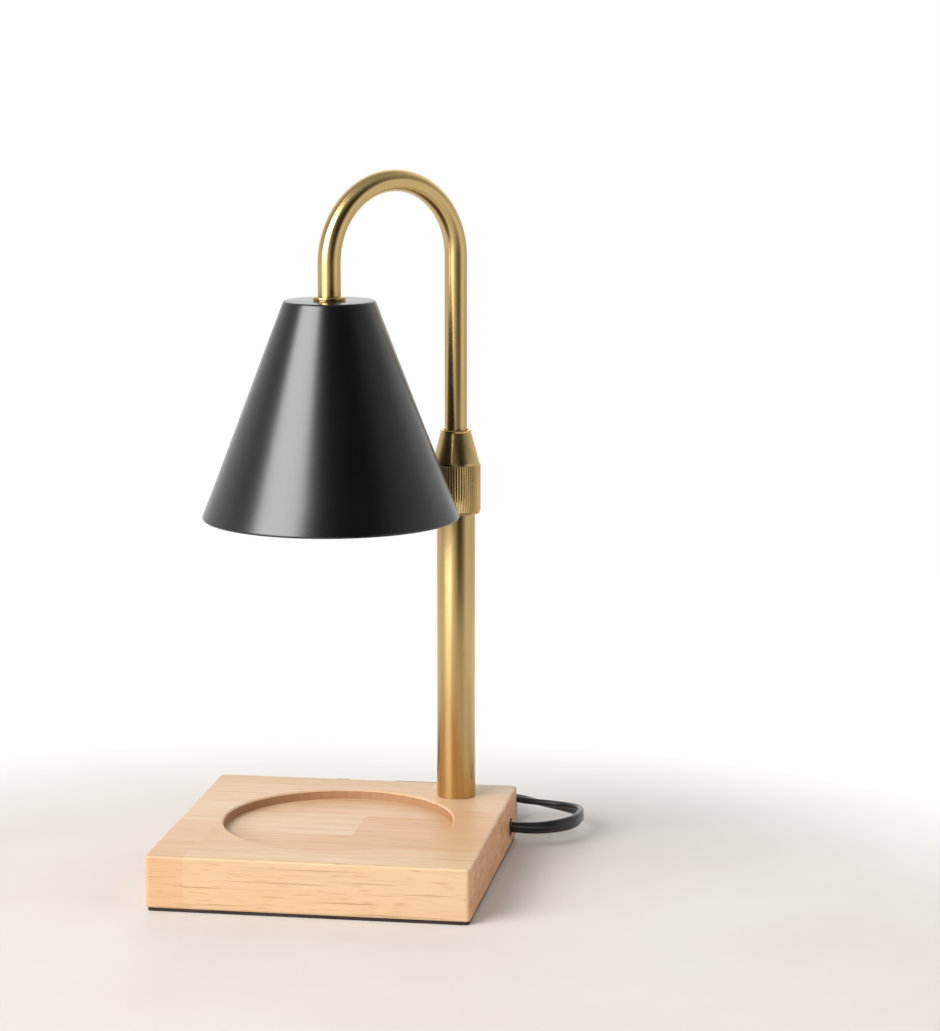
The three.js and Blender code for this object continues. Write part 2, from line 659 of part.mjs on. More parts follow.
function bracket() {
  const strap = block(-bracketHalf, bracketHalf, -BRACKET_WIDTH / 2, BRACKET_WIDTH / 2,
    bracketFoot, BRACKET_TOP);
  const inside = block(-bracketHalf + BRACKET_THICKNESS, bracketHalf - BRACKET_THICKNESS,
    -BRACKET_WIDTH, BRACKET_WIDTH, bracketFoot - OVERRUN, BRACKET_UNDERSIDE);
  const screwHoles = rod([-bracketHalf - OVERRUN, 0, bracketScrewHeight],
    [bracketHalf + OVERRUN, 0, bracketScrewHeight], BRACKET_SCREW_RADIUS + FIT);
  return cut(strap, inside, nippleClear, screwHoles);
}

// Headed screw that lies along X, its head outside the bracket
function bracketScrew(side) {
  const seat = side * (bracketHalf + SEAT);
  const tip = seat - side * BRACKET_SCREW_LENGTH;
  const top = seat + side * BRACKET_SCREW_HEAD_HEIGHT;
  return join(rod([tip, 0, bracketScrewHeight], [top, 0, bracketScrewHeight],
    BRACKET_SCREW_RADIUS),
  rod([seat, 0, bracketScrewHeight], [top, 0, bracketScrewHeight], BRACKET_SCREW_HEAD));
}

// Ceramic lamp holder with two curved slots that lock the pins of the bulb by a twist
const twist = THREE.MathUtils.degToRad(TWIST_DEGREES);
const pinAngles = [0, Math.PI];

function lampHolder() {
  const edge = HOLDER_RADIUS - HOLDER_EDGE;
  let body = turned([
    [0, HOLDER_BOTTOM],
    [edge, HOLDER_BOTTOM],
    [HOLDER_RADIUS, HOLDER_BOTTOM + HOLDER_EDGE],
    [HOLDER_RADIUS, HOLDER_TOP - HOLDER_EDGE],
    [edge, HOLDER_TOP],
    [0, HOLDER_TOP],
  ]);
  const middle = PIN_SPACING / 2;
  for (const angle of pinAngles) {
    const path = kidney(middle, PIN_SHANK_RADIUS + FIT, angle, angle + twist);
    const room = kidney(middle, PIN_HEAD_RADIUS + FIT, angle, angle + twist);
    const entry = cylinder(PIN_HEAD_RADIUS + FIT, HOLDER_BOTTOM - OVERRUN, PIN_HEAD_BOTTOM,
      SMALL_SIDES, middle * Math.cos(angle + twist), middle * Math.sin(angle + twist));
    body = cut(body, slab(path, HOLDER_BOTTOM - OVERRUN, PIN_HEAD_BOTTOM, 0, 4),
      slab(room, HOLDER_BOTTOM + SLOT_FLOOR, CHAMBER_TOP, 0, 4), entry);
  }
  const tapped = rod([-HOLDER_RADIUS - OVERRUN, 0, bracketScrewHeight],
    [HOLDER_RADIUS + OVERRUN, 0, bracketScrewHeight], BRACKET_SCREW_RADIUS + FIT);
  const coreHalf = bracketHalf - BRACKET_SCREW_LENGTH - FIT;
  const core = block(-coreHalf, coreHalf, -HOLDER_RADIUS, HOLDER_RADIUS, HOLDER_BOTTOM,
    HOLDER_TOP);
  return cut(body, cut(tapped, core));
}

function contact(angle) {
  const outline = kidney(PIN_SPACING / 2, PIN_HEAD_RADIUS - FIT, angle, angle + twist);
  return slab(outline, CHAMBER_TOP - SEAT - CONTACT_THICKNESS, CHAMBER_TOP - SEAT, 0, 4);
}

place(head, "shade", shade(), blackPaint());
place(head, "shade_washer", shadeWasher, brass());
place(head, "arm_end_nipple", endNipple, steel());
place(head, "shade_nut", endNut, steel());
place(head, "holder_bracket", bracket(), steel());
place(head, "bracket_screw_left", bracketScrew(-1), steel());
place(head, "bracket_screw_right", bracketScrew(1), steel());
place(head, "lamp_holder", lampHolder(), ceramic());
place(head, "contact_left", contact(Math.PI), brass());
place(head, "contact_right", contact(0), brass());

// Bulb: a reflector lamp with two headed pins
function bulbNeck() {
  const body = turned([
    [0, NECK_BOTTOM],
    [BULB_NECK_RADIUS, NECK_BOTTOM],
    [BULB_NECK_RADIUS, NECK_TOP - HOLDER_EDGE],
    [BULB_NECK_RADIUS - HOLDER_EDGE, NECK_TOP],
    [0, NECK_TOP],
  ]);
  const holes = pinAngles.map((angle) => cylinder(PIN_SHANK_RADIUS + FIT,
    NECK_TOP - PIN_IN_NECK, NECK_TOP + OVERRUN, SMALL_SIDES,
    (Math.cos(angle) * PIN_SPACING) / 2, 0));
  return cut(body, ...holes);
}

function bulbPin(angle) {
  const x = (Math.cos(angle) * PIN_SPACING) / 2;
  return join(
    cylinder(PIN_SHANK_RADIUS, NECK_TOP - PIN_IN_NECK + FIT, PIN_HEAD_TOP, SMALL_SIDES, x),
    cylinder(PIN_HEAD_RADIUS, PIN_HEAD_BOTTOM, PIN_HEAD_TOP, SMALL_SIDES, x));
}

// The reflector's dish widens as a parabola from the neck to the rim
function reflector() {
  const outer = [];
  const inner = [];
  for (let i = 0; i <= DISH_STEPS; i++) {
    const share = i / DISH_STEPS;
    const radius = BULB_NECK_RADIUS + (BULB_RADIUS - BULB_NECK_RADIUS) * Math.sqrt(share);
    const height = NECK_BOTTOM - SEAT + (BULB_RIM - NECK_BOTTOM) * share;
    outer.push([radius, height]);
    inner.push([radius - BULB_WALL, height]);
  }
  outer.push([BULB_RADIUS, BULB_FACE]);
  inner.push([BULB_RADIUS - BULB_WALL, BULB_FACE]);
  return turned([...inner, ...outer.reverse()]);
}

const lens = cylinder(BULB_RADIUS - BULB_WALL - FIT, BULB_FACE + FIT,
  BULB_FACE + FIT + LENS_THICKNESS);
const capsule = turned([
  [0, NECK_BOTTOM - SEAT - CAPSULE_LENGTH],
  [CAPSULE_RADIUS / 2, NECK_BOTTOM - SEAT - CAPSULE_LENGTH],
  [CAPSULE_RADIUS, NECK_BOTTOM - SEAT - CAPSULE_LENGTH + CAPSULE_RADIUS],
  [CAPSULE_RADIUS, NECK_BOTTOM - SEAT],
  [0, NECK_BOTTOM - SEAT],
], SMALL_SIDES);
place(head, "bulb_neck", bulbNeck(), ceramic());
place(head, "bulb_pin_left", bulbPin(Math.PI), steel());
place(head, "bulb_pin_right", bulbPin(0), steel());
place(head, "bulb_reflector", reflector(), glass());
place(head, "bulb_lens", lens, glass());
place(head, "bulb_capsule", capsule, glass());

// Wires in the post and the pocket under it, in the post's own frame
function slackWire() {
  const low = FOOT_PLUG_TOP + SEAT;
  const high = LOWER_RING_BOTTOM - SEAT;
  const straight = 2 * WIRE_RADIUS;
  const points = [[0, 0, low]];
  const steps = 8 * SLACK_WAVES;
  for (let i = 0; i <= steps; i++) {
    const share = i / steps;
    const sway = SLACK_SWAY * Math.sin(Math.PI * share) ** 2;
    const angle = share * SLACK_WAVES * 2 * Math.PI;
    const height = low + straight + (high - low - 2 * straight) * share;
    points.push([sway * Math.cos(angle), sway * Math.sin(angle), height]);
  }
  points.push([0, 0, high]);
  return strand(curve(points), WIRE_RADIUS, 2 * steps, LOOP_SECTION_SHARES.length);
}

const capHeight = PAD_THICKNESS + SEAT + CAP_RADIUS + FIT;
const capMouth = CAP_LENGTH / 3;
const lampLeadLow = capHeight + CORE_RADIUS;
const coreOffset = CORE_RADIUS + FIT / 2;

// A core that bends through the given points and runs straight into a cap's mouth
function core(side, endY, bends) {
  const mouth = [[capMouth + CAP_RADIUS, endY, capHeight], [capMouth + FIT, endY, capHeight]];
  const points = [...bends, ...mouth].map(([x, y, z]) => [x, side * y, z]);
  return strand(curve(points), CORE_RADIUS, 3 * bends.length, LOOP_SECTION_SHARES.length);
}

// The lamp's lead comes down the nipple and its two cores turn into the crimp caps
function baseWire() {
  const stem = cylinder(WIRE_RADIUS, lampLeadLow, FOOT_PLUG_TOP, LOOP_SECTION_SHARES.length);
  const bends = LAMP_CORE_SHARES.map(([ahead, aside]) =>
    [CAP_LENGTH * ahead, CAP_SPREAD * aside, capHeight]);
  bends[0][2] = lampLeadLow;
  bends.unshift([0, CORE_RADIUS, lampLeadLow + WIRE_RADIUS]);
  return join(stem, ...[-1, 1].map((side) => core(side, CAP_SPREAD - coreOffset, bends)));
}

// The mains cord's end inside the base, its two cores split towards the crimp caps
const gripStart = GRIP_FROM_POST;
const leadEnd = BASE_HALF - POST_X - SEAT;

function cordLeadIn() {
  const tip = gripStart - FIT;
  const flat = flatCord([
    { at: [tip, 0, CABLE_HOLE_HEIGHT], tilt: 90 },
    { at: [gripStart + GRIP_THICKNESS + FIT, 0, CABLE_HOLE_HEIGHT], tilt: 90 },
    { at: [leadEnd, 0, CABLE_HOLE_HEIGHT], tilt: EXIT_TILT },
  ], CORD_SECTION_SHARES);
  const bends = MAINS_CORE_SHARES.map(([ahead, aside, rise]) =>
    [CAP_LENGTH * ahead, CAP_SPREAD * aside, capHeight + (CABLE_HOLE_HEIGHT - capHeight) * rise]);
  bends.unshift([tip + FIT, CORD_WIDTH / 4, CABLE_HOLE_HEIGHT]);
  return join(flat, ...[-1, 1].map((side) => core(side, CAP_SPREAD + coreOffset, bends)));
}

const crimpCap = (side) => rod([capMouth, side * CAP_SPREAD, capHeight],
  [capMouth - CAP_LENGTH, side * CAP_SPREAD, capHeight], CAP_RADIUS);

// Cord grip: a block screwed up into the pocket's ceiling round the cord
const gripBottom = CABLE_HOLE_HEIGHT - CORD_THICKNESS / 2 - GRIP_BELOW_CORD;

function cordGrip() {
  const body = block(gripStart, gripStart + GRIP_THICKNESS, -GRIP_HALF_WIDTH,
    GRIP_HALF_WIDTH, gripBottom, POCKET_TOP - SEAT);
  const slot = block(gripStart - OVERRUN, gripStart + GRIP_THICKNESS + OVERRUN,
    -CORD_WIDTH / 2 - FIT, CORD_WIDTH / 2 + FIT,
    CABLE_HOLE_HEIGHT - CORD_THICKNESS / 2 - FIT, CABLE_HOLE_HEIGHT + CORD_THICKNESS / 2 + FIT);
  const screwHoles = [-1, 1].map((side) => cylinder(GRIP_SCREW_RADIUS + FIT / 2,
    gripBottom - OVERRUN, POCKET_TOP + OVERRUN, WIRE_SIDES, gripStart + GRIP_THICKNESS / 2,
    side * GRIP_SCREW_OFFSET));
  return cut(body, slot, ...screwHoles);
}

const gripScrew = (side) => {
  const x = gripStart + GRIP_THICKNESS / 2;
  const y = side * GRIP_SCREW_OFFSET;
  const headLow = gripBottom - SEAT - GRIP_SCREW_RADIUS;
  return join(
    cylinder(GRIP_SCREW_RADIUS, headLow, POCKET_TOP - SEAT, WIRE_SIDES, x, y),
    cylinder(GRIP_SCREW_HEAD, headLow, gripBottom - SEAT, WIRE_SIDES, x, y));
};

// Cord, from the base's back right corner: places and tilts of its free stretches
const corner = new THREE.Group();
corner.position.set(BASE_HALF, BASE_HALF, 0);
warmer.add(corner);

const routeOf = (rows) => rows.map(([x, y, z, tilt]) => ({ at: [x, y, z], tilt }));

const cordRoute = routeOf([
  [EXIT_GAP, -POST_FROM_BACK, CABLE_HOLE_HEIGHT, EXIT_TILT],
  [3, -POST_FROM_BACK, CABLE_HOLE_HEIGHT, 66],
  [6.5, -19, 9.4, 60],
  [12, -17.8, 9.3, 52],
  [17.2, -15, 9.3, 40],
  [22.1, -10.1, 9.2, 24],
  [25.3, -3.8, 9.1, 8],
  [26.4, 3.1, 8.9, 0],
  [26.4, 9.1, 8.5, 0],
  [25.3, 16, 7.9, 8],
  [22.1, 22.3, 7.2, 24],
  [17.2, 27.2, 6.7, 40],
  [10.9, 30.4, 6.7, 58],
  [4, 31.5, 7.3, 76],
  [-1, 31.5, 8.1, 90],
  [-6, 31.5, 8.8, 90],
  [-12, 31.5, 9, 90],
  [-17, 31.5, 8.4, 90],
  [-20, DIMMER_Y, DIMMER_AXIS_HEIGHT, 90],
  [DIMMER_X + DIMMER_REACH + EXIT_GAP, DIMMER_Y, DIMMER_AXIS_HEIGHT, 90],
]);

const linkRoute = routeOf([
  [DIMMER_X - DIMMER_REACH - EXIT_GAP, DIMMER_Y, DIMMER_AXIS_HEIGHT, 90],
  [-72, DIMMER_Y, DIMMER_AXIS_HEIGHT, 90],
  [-76, 32.1, 6, 60],
  [-80, 33.7, 4.4, 26],
  [-83.5, 35.9, 3.7, 4],
  [-87, 38.5, 3.65, 0],
  [-90.5, 41, 3.65, 0],
  [-94, 43.3, 3.65, 0],
  [-97, 44.8, 3.65, 0],
  [HANK_START, HANK_Y + HANK_INNER_RADIUS, HANK_HEIGHT, 0],
]);

const endRoute = routeOf([
  [HANK_START, HANK_Y - HANK_OUTER_RADIUS, HANK_HEIGHT + HANK_CLIMB, 0],
  [-97, HANK_Y - HANK_OUTER_RADIUS, HANK_HEIGHT + HANK_CLIMB, 0],
  [-94, 3.6, 10.3, 14],
  [-90.6, 5.3, 10.8, 36],
  [-87, 7.6, 11.3, 58],
  [-83.5, 9.9, 11.55, 78],
  [-80, PLUG_Y, PLUG_AXIS_HEIGHT, 90],
  [BOOT_TIP - EXIT_GAP, PLUG_Y, PLUG_AXIS_HEIGHT, 90],
]);

// Hank: long loops one inside the next, each set out by one pitch along the front run
function hankStations() {
  const made = [];
  const put = (x, y, climbShare) => {
    made.push({ at: [x, y, HANK_HEIGHT + HANK_CLIMB * climbShare], tilt: 0 });
  };
  const fold = (centreX, radius, from, climbs) => {
    for (let i = 0; i <= FOLD_STEPS; i++) {
      const share = i / FOLD_STEPS;
      const angle = from + Math.PI * share;
      const eased = share * share * (3 - 2 * share);
      put(centreX + radius * Math.cos(angle), HANK_Y + radius * Math.sin(angle),
        climbs ? eased : 0);
    }
  };
  const waist = WAIST_STEP_SHARES.map((share, i) => ({
    x: WAIST_LEFT + (WAIST_RIGHT - WAIST_LEFT) * share,
    drawn: WAIST_DRAW * WAIST_DRAW_SHARES[i],
  }));
  put(HANK_LEFT + CORD_WIDTH, HANK_Y + HANK_INNER_RADIUS, 0);
  for (let loop = 0; loop < HANK_LOOPS; loop++) {
    const radius = HANK_INNER_RADIUS + loop * HANK_PITCH;
    const wider = radius + HANK_PITCH;
    fold(HANK_LEFT, radius, Math.PI / 2, false);
    for (const { x, drawn } of waist) put(x, HANK_Y - radius + drawn, 0);
    fold(HANK_RIGHT, wider, -Math.PI / 2, false);
    for (const { x, drawn } of [...waist].reverse()) put(x, HANK_Y + wider - drawn, 0);
  }
  fold(HANK_LEFT, HANK_OUTER_RADIUS, Math.PI / 2, true);
  put(HANK_LEFT + CORD_WIDTH, HANK_Y - HANK_OUTER_RADIUS, 1);
  return made;
}

function routeLength(stations) {
  let length = 0;
  for (let i = 1; i < stations.length; i++) {
    length += Math.hypot(...stations[i].at.map((value, axis) => value - stations[i - 1].at[axis]));
  }
  return length;
}

// Least gap of a flat cord on edge to itself, between points more than a loop end apart
function leastGap(stations) {
  const points = [];
  let along = 0;
  const parts = 6;
  for (let i = 1; i < stations.length; i++) {
    const [from, to] = [stations[i - 1].at, stations[i].at];
    const step = Math.hypot(...to.map((value, axis) => value - from[axis]));
    for (let part = 0; part < parts; part++) {
      const share = part / parts;
      const at = to.map((value, axis) => from[axis] + (value - from[axis]) * share);
      points.push({ at, along: along + step * share });
    }
    along += step;
  }
  let least = Infinity;
  for (const one of points) {
    for (const other of points) {
      if (other.along - one.along < HANK_INNER_RADIUS * 2) continue;
      const side = Math.hypot(one.at[0] - other.at[0], one.at[1] - other.at[1]);
      const rise = Math.abs(one.at[2] - other.at[2]);
      const gap = Math.hypot(Math.max(side - CORD_THICKNESS, 0), Math.max(rise - CORD_WIDTH, 0));
      least = Math.min(least, gap);
    }
  }
  return least;
}

const hank = hankStations();
console.log("hank least gap to itself", leastGap(hank).toFixed(2), "mm");
console.log("cord lengths", [cordRoute, linkRoute, hank, endRoute]
  .map((route) => routeLength(route).toFixed(0)).join(" "), "mm");

place(post, "slack_wire", slackWire(), ceramic());
place(post, "base_wire", baseWire(), ceramic());
place(post, "cord_lead_in", cordLeadIn(), cordJacket());
place(post, "crimp_cap_front", crimpCap(-1), whiteNylon());
place(post, "crimp_cap_back", crimpCap(1), whiteNylon());
place(post, "cord_grip", cordGrip(), blackPlastic());
place(post, "grip_screw_front", gripScrew(-1), steel());
place(post, "grip_screw_back", gripScrew(1), steel());
place(corner, "cord_to_dimmer", flatCord(cordRoute, CORD_SECTION_SHARES), cordJacket());
place(corner, "cord_to_hank", flatCord(linkRoute, CORD_SECTION_SHARES), cordJacket());
place(corner, "cord_hank", flatCord(hank, LOOP_SECTION_SHARES), cordJacket());
place(corner, "cord_to_plug", flatCord(endRoute, CORD_SECTION_SHARES), cordJacket());

// Tie round the waist of the hank
function hankTie() {
  const middle = (WAIST_LEFT + WAIST_RIGHT) / 2;
  const side = CORD_THICKNESS / 2 + FIT - WAIST_DRAW;
  const lowY = HANK_Y - HANK_OUTER_RADIUS + HANK_PITCH - side;
  const highY = HANK_Y + HANK_OUTER_RADIUS + side;
  const low = CORD_LIFT - FIT;
  const high = HANK_TOP + FIT;
  const wall = TIE_THICKNESS;
  const outer = block(middle - TIE_WIDTH / 2, middle + TIE_WIDTH / 2, lowY - wall,
    highY + wall, low - wall, high + wall);
  const inner = block(middle - TIE_WIDTH, middle + TIE_WIDTH, lowY, highY, low, high);
  return cut(outer, inner);
}

place(corner, "hank_tie", hankTie(), cloth());

// Dimmer: two shells, a board, a thumb wheel and two screws
const dimmer = new THREE.Group();
dimmer.position.set(DIMMER_X, DIMMER_Y, 0);
corner.add(dimmer);

const dimmerHalf = DIMMER_LENGTH / 2;
const dimmerSide = DIMMER_WIDTH / 2;
const screwX = dimmerHalf - DIMMER_WALL - DIMMER_BOSS_RADIUS - FIT;
const screwY = dimmerSide - DIMMER_WALL - DIMMER_BOSS_RADIUS - FIT;
const screwPlaces = [[-screwX, screwY], [screwX, screwY]];
const wheelLow = WHEEL_HEIGHT - WHEEL_THICKNESS / 2;
const wheelHigh = WHEEL_HEIGHT + WHEEL_THICKNESS / 2;
const wheelRoom = cylinder(WHEEL_RADIUS + FIT * 2, wheelLow - FIT, wheelHigh + FIT, ROUND_SIDES,
  0, -WHEEL_FORWARD);
const dimmerFloor = DIMMER_LIFT + DIMMER_WALL;
const dimmerCeiling = DIMMER_TOP - DIMMER_WALL;

function dimmerBody() {
  const outline = roundedRectangle(-dimmerHalf, dimmerHalf, -dimmerSide, dimmerSide,
    DIMMER_CORNER_RADIUS);
  const housing = slab(outline, DIMMER_LIFT, DIMMER_TOP, DIMMER_WALL);
  const sleeves = block(-DIMMER_REACH, DIMMER_REACH, -DIMMER_GRIP_WIDTH / 2,
    DIMMER_GRIP_WIDTH / 2, DIMMER_AXIS_HEIGHT - CORD_THICKNESS / 2 - FIT - DIMMER_GRIP_WALL,
    DIMMER_AXIS_HEIGHT + CORD_THICKNESS / 2 + FIT + DIMMER_GRIP_WALL);
  const inner = roundedRectangle(-dimmerHalf + DIMMER_WALL, dimmerHalf - DIMMER_WALL,
    -dimmerSide + DIMMER_WALL, dimmerSide - DIMMER_WALL, DIMMER_CORNER_RADIUS - DIMMER_WALL);
  return cut(join(housing, sleeves), slab(inner, dimmerFloor, dimmerCeiling));
}

function halfCase(low, high, axleLow, axleHigh) {
  const keep = block(-DIMMER_REACH - OVERRUN, DIMMER_REACH + OVERRUN, -DIMMER_WIDTH,
    DIMMER_WIDTH, low, high);
  let half = dimmerBody().intersect(keep);
  const bossLow = Math.max(low, DIMMER_LIFT + SEAT);
  const bossHigh = Math.min(high, DIMMER_TOP - SEAT);
  for (const [x, y] of screwPlaces) {
    half = half.add(cylinder(DIMMER_BOSS_RADIUS, bossLow, bossHigh, SMALL_SIDES, x, y));
  }
  const axleRing = cut(
    cylinder(WHEEL_AXLE_RADIUS + FIT + DIMMER_WALL, axleLow, axleHigh, SMALL_SIDES, 0,
      -WHEEL_FORWARD),
    cylinder(WHEEL_AXLE_RADIUS + FIT, axleLow - OVERRUN, axleHigh + OVERRUN, SMALL_SIDES, 0,
      -WHEEL_FORWARD));
  half = half.add(axleRing);
  return cut(half, wheelRoom);
}

function dimmerBottom() {
  const half = halfCase(-OVERRUN, DIMMER_SPLIT - SEAT, dimmerFloor - SEAT, wheelLow);
  const screwHoles = screwPlaces.flatMap(([x, y]) => [
    cylinder(DIMMER_SCREW_RADIUS + FIT / 2, -OVERRUN, DIMMER_TOP, WIRE_SIDES, x, y),
    cylinder(DIMMER_SCREW_HEAD + FIT / 2, -OVERRUN, dimmerFloor, SMALL_SIDES, x, y),
  ]);
  return cut(half, ...screwHoles);
}

function dimmerTop() {
  const half = halfCase(DIMMER_SPLIT, DIMMER_TOP + OVERRUN, wheelHigh + FIT,
    dimmerCeiling + SEAT);
  const screwHoles = screwPlaces.map(([x, y]) => cylinder(DIMMER_SCREW_RADIUS + FIT / 2,
    DIMMER_SPLIT - OVERRUN, dimmerCeiling, WIRE_SIDES, x, y));
  return cut(half, ...screwHoles);
}

// The board lies on the floor of the case, its tall parts behind the wheel
function dimmerBoard() {
  const low = dimmerFloor + SEAT;
  const halfX = screwX - DIMMER_BOSS_RADIUS - FIT;
  const frontY = WHEEL_AXLE_RADIUS + DIMMER_WALL + 2 * FIT - WHEEL_FORWARD;
  const backY = dimmerSide - DIMMER_WALL - FIT;
  const partY = WHEEL_RADIUS + 3 * FIT - WHEEL_FORWARD;
  const sheet = block(-halfX, halfX, frontY, backY, low, low + BOARD_THICKNESS);
  const choke = block(-halfX + FIT, -FIT, partY, backY - FIT, low, dimmerCeiling - FIT);
  const regulator = block(DIMMER_WALL, halfX - FIT, partY, backY - FIT, low,
    dimmerCeiling - DIMMER_WALL);
  return join(sheet, choke, regulator);
}

const wheelAxleLow = dimmerFloor + SEAT;
const wheelAxleHigh = dimmerCeiling - SEAT;

function dimmerWheel() {
  const disc = slab(ridgedCircle(WHEEL_RADIUS, WHEEL_RIDGE_DEPTH, WHEEL_RIDGES), wheelLow,
    wheelHigh);
  return join(disc, cylinder(WHEEL_AXLE_RADIUS, wheelAxleLow, wheelAxleHigh, SMALL_SIDES));
}

const dimmerScrew = ([x, y]) => join(
  cylinder(DIMMER_SCREW_RADIUS, DIMMER_LIFT + FIT, dimmerCeiling - FIT, WIRE_SIDES, x, y),
  cylinder(DIMMER_SCREW_HEAD, DIMMER_LIFT + FIT, dimmerFloor - SEAT, SMALL_SIDES, x, y));

place(dimmer, "dimmer_bottom_case", dimmerBottom(), blackPlastic());
place(dimmer, "dimmer_top_case", dimmerTop(), blackPlastic());
place(dimmer, "dimmer_board", dimmerBoard(), greenBoard());
place(dimmer, "dimmer_screw_left", dimmerScrew(screwPlaces[0]), steel());
place(dimmer, "dimmer_screw_right", dimmerScrew(screwPlaces[1]), steel());
const wheel = new THREE.Group();
wheel.position.set(0, -WHEEL_FORWARD, 0);
dimmer.add(wheel);
place(wheel, "dimmer_wheel", dimmerWheel(), blackPlastic());

// Plug: a moulded body with a tapered boot, and two flat blades
const plug = new THREE.Group();
plug.position.set(PLUG_X, PLUG_Y, PLUG_AXIS_HEIGHT);
corner.add(plug);

const bladeY = BLADE_SPACING / 2;

function plugBody() {
  const half = PLUG_WIDTH / 2;
  const thick = PLUG_HEIGHT / 2;
  const body = slab(roundedRectangle(0, PLUG_LENGTH, -half, half, PLUG_CORNER_RADIUS), -thick,
    thick, PLUG_CORNER_RADIUS / 2);
  const pockets = [-1, 1].map((side) => bladeBlank(side * bladeY, WIDE_BLADE_WIDTH, FIT,
    PLUG_LENGTH + OVERRUN));
  return cut(body, ...pockets);
}

function bladeBlank(y, width, grow, end) {
  return block(PLUG_LENGTH - BLADE_IN_PLUG - grow, end, y - BLADE_THICKNESS / 2 - grow,
    y + BLADE_THICKNESS / 2 + grow, -width / 2 - grow, width / 2 + grow);
}

function blade(y, width) {
  const tip = PLUG_LENGTH + BLADE_LENGTH;
  const holeX = tip - BLADE_HOLE_FROM_TIP;
  return cut(bladeBlank(y, width, 0, tip), rod([holeX, y - BLADE_THICKNESS, 0],
    [holeX, y + BLADE_THICKNESS, 0], BLADE_HOLE_RADIUS));
}

// The boot's section shrinks towards the cord
function plugBoot() {
  const ringAt = (x, halfWidth, halfHeight) => ({ x, halfWidth, halfHeight });
  const tip = ringAt(-BOOT_LENGTH, CORD_WIDTH / 2 + BOOT_TIP_WALL,
    CORD_THICKNESS / 2 + BOOT_TIP_WALL);
  const root = ringAt(-SEAT, PLUG_WIDTH / 2 - PLUG_CORNER_RADIUS, PLUG_HEIGHT / 2 - BOOT_TIP_WALL);
  const corners = [];
  for (const { x, halfWidth, halfHeight } of [tip, root]) {
    for (const [heightShare, widthShare] of CORD_SECTION_SHARES) {
      corners.push(x, widthShare * halfWidth, heightShare * halfHeight);
    }
  }
  const sides = CORD_SECTION_SHARES.length;
  const faces = [];
  for (let side = 0; side < sides; side++) {
    const next = (side + 1) % sides;
    faces.push(side, sides + next, next, side, sides + side, sides + next);
  }
  for (let side = 1; side < sides - 1; side++) {
    faces.push(0, side, side + 1);
    faces.push(sides, sides + side + 1, sides + side);
  }
  return shell(corners, faces);
}

place(plug, "plug_body", plugBody(), blackPlastic());
place(plug, "plug_boot", plugBoot(), blackPlastic());
place(plug, "plug_blade_narrow", blade(-bladeY, BLADE_WIDTH), brass());
place(plug, "plug_blade_wide", blade(bladeY, WIDE_BLADE_WIDTH), brass());

export default warmer;
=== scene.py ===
"""Wax warmer lamp: finer pieces over its solids, their finishes, a floor, lights and a camera."""

import json
import math

import bpy
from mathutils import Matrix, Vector


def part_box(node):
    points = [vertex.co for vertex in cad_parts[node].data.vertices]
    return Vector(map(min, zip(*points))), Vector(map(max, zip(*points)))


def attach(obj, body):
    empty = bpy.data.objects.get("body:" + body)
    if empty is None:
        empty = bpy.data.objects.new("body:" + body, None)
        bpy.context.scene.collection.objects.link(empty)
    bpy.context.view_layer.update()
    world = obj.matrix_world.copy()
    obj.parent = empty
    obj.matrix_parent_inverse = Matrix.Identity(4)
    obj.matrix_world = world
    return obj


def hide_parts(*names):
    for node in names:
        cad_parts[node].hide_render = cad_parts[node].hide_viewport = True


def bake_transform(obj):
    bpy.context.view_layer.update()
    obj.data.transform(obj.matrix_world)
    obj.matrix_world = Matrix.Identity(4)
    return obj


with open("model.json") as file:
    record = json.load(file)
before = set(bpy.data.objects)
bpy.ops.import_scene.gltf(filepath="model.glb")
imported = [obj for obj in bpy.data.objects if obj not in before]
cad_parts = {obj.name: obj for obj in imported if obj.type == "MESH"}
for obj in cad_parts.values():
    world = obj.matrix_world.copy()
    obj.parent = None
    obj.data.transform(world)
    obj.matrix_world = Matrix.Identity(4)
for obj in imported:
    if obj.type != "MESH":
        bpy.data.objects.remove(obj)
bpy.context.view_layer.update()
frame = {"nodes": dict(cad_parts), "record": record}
MM = 0.001
TAU = 2 * math.pi
UP = Vector((0, 0, 1))
BACK = Vector((0, 1, 0))
NODES = frame["nodes"]

# Camera, fitted to the base, the post, the arm and the shade in the photograph
SENSOR_WIDTH = 36
CAMERA_LENS = 105.73
CAMERA_PLACE = (0.24005, -1.18455, 0.35303)
CAMERA_DOWN = 9.58
CAMERA_TURN = 8.89

camera_data = bpy.data.cameras.new("camera")
camera_data.sensor_width = SENSOR_WIDTH
camera_data.lens = CAMERA_LENS
camera = bpy.data.objects.new("camera", camera_data)
camera.location = CAMERA_PLACE
camera.rotation_euler = (math.radians(90 - CAMERA_DOWN), 0, math.radians(CAMERA_TURN))
bpy.context.scene.collection.objects.link(camera)
bpy.context.scene.camera = camera
bpy.context.scene.view_settings.view_transform = "Standard"

# Mesh tools, in millimetres
AXIS_GAP = 0.02
LEAST_CORNER = 0.05


def smooth(mesh, angle):
    """Smooth faces, but for edges sharper than the angle."""
    mesh.polygons.foreach_set("use_smooth", [True] * len(mesh.polygons))
    mesh.set_sharp_from_angle(angle=math.radians(angle))


def face_outwards(mesh):
    """Turns the faces of a closed mesh the right way out."""
    mesh.calc_loop_triangles()
    triangles = [[mesh.vertices[i].co for i in each.vertices] for each in mesh.loop_triangles]
    if sum(a.dot(b.cross(c)) for a, b, c in triangles) < 0:
        mesh.flip_normals()


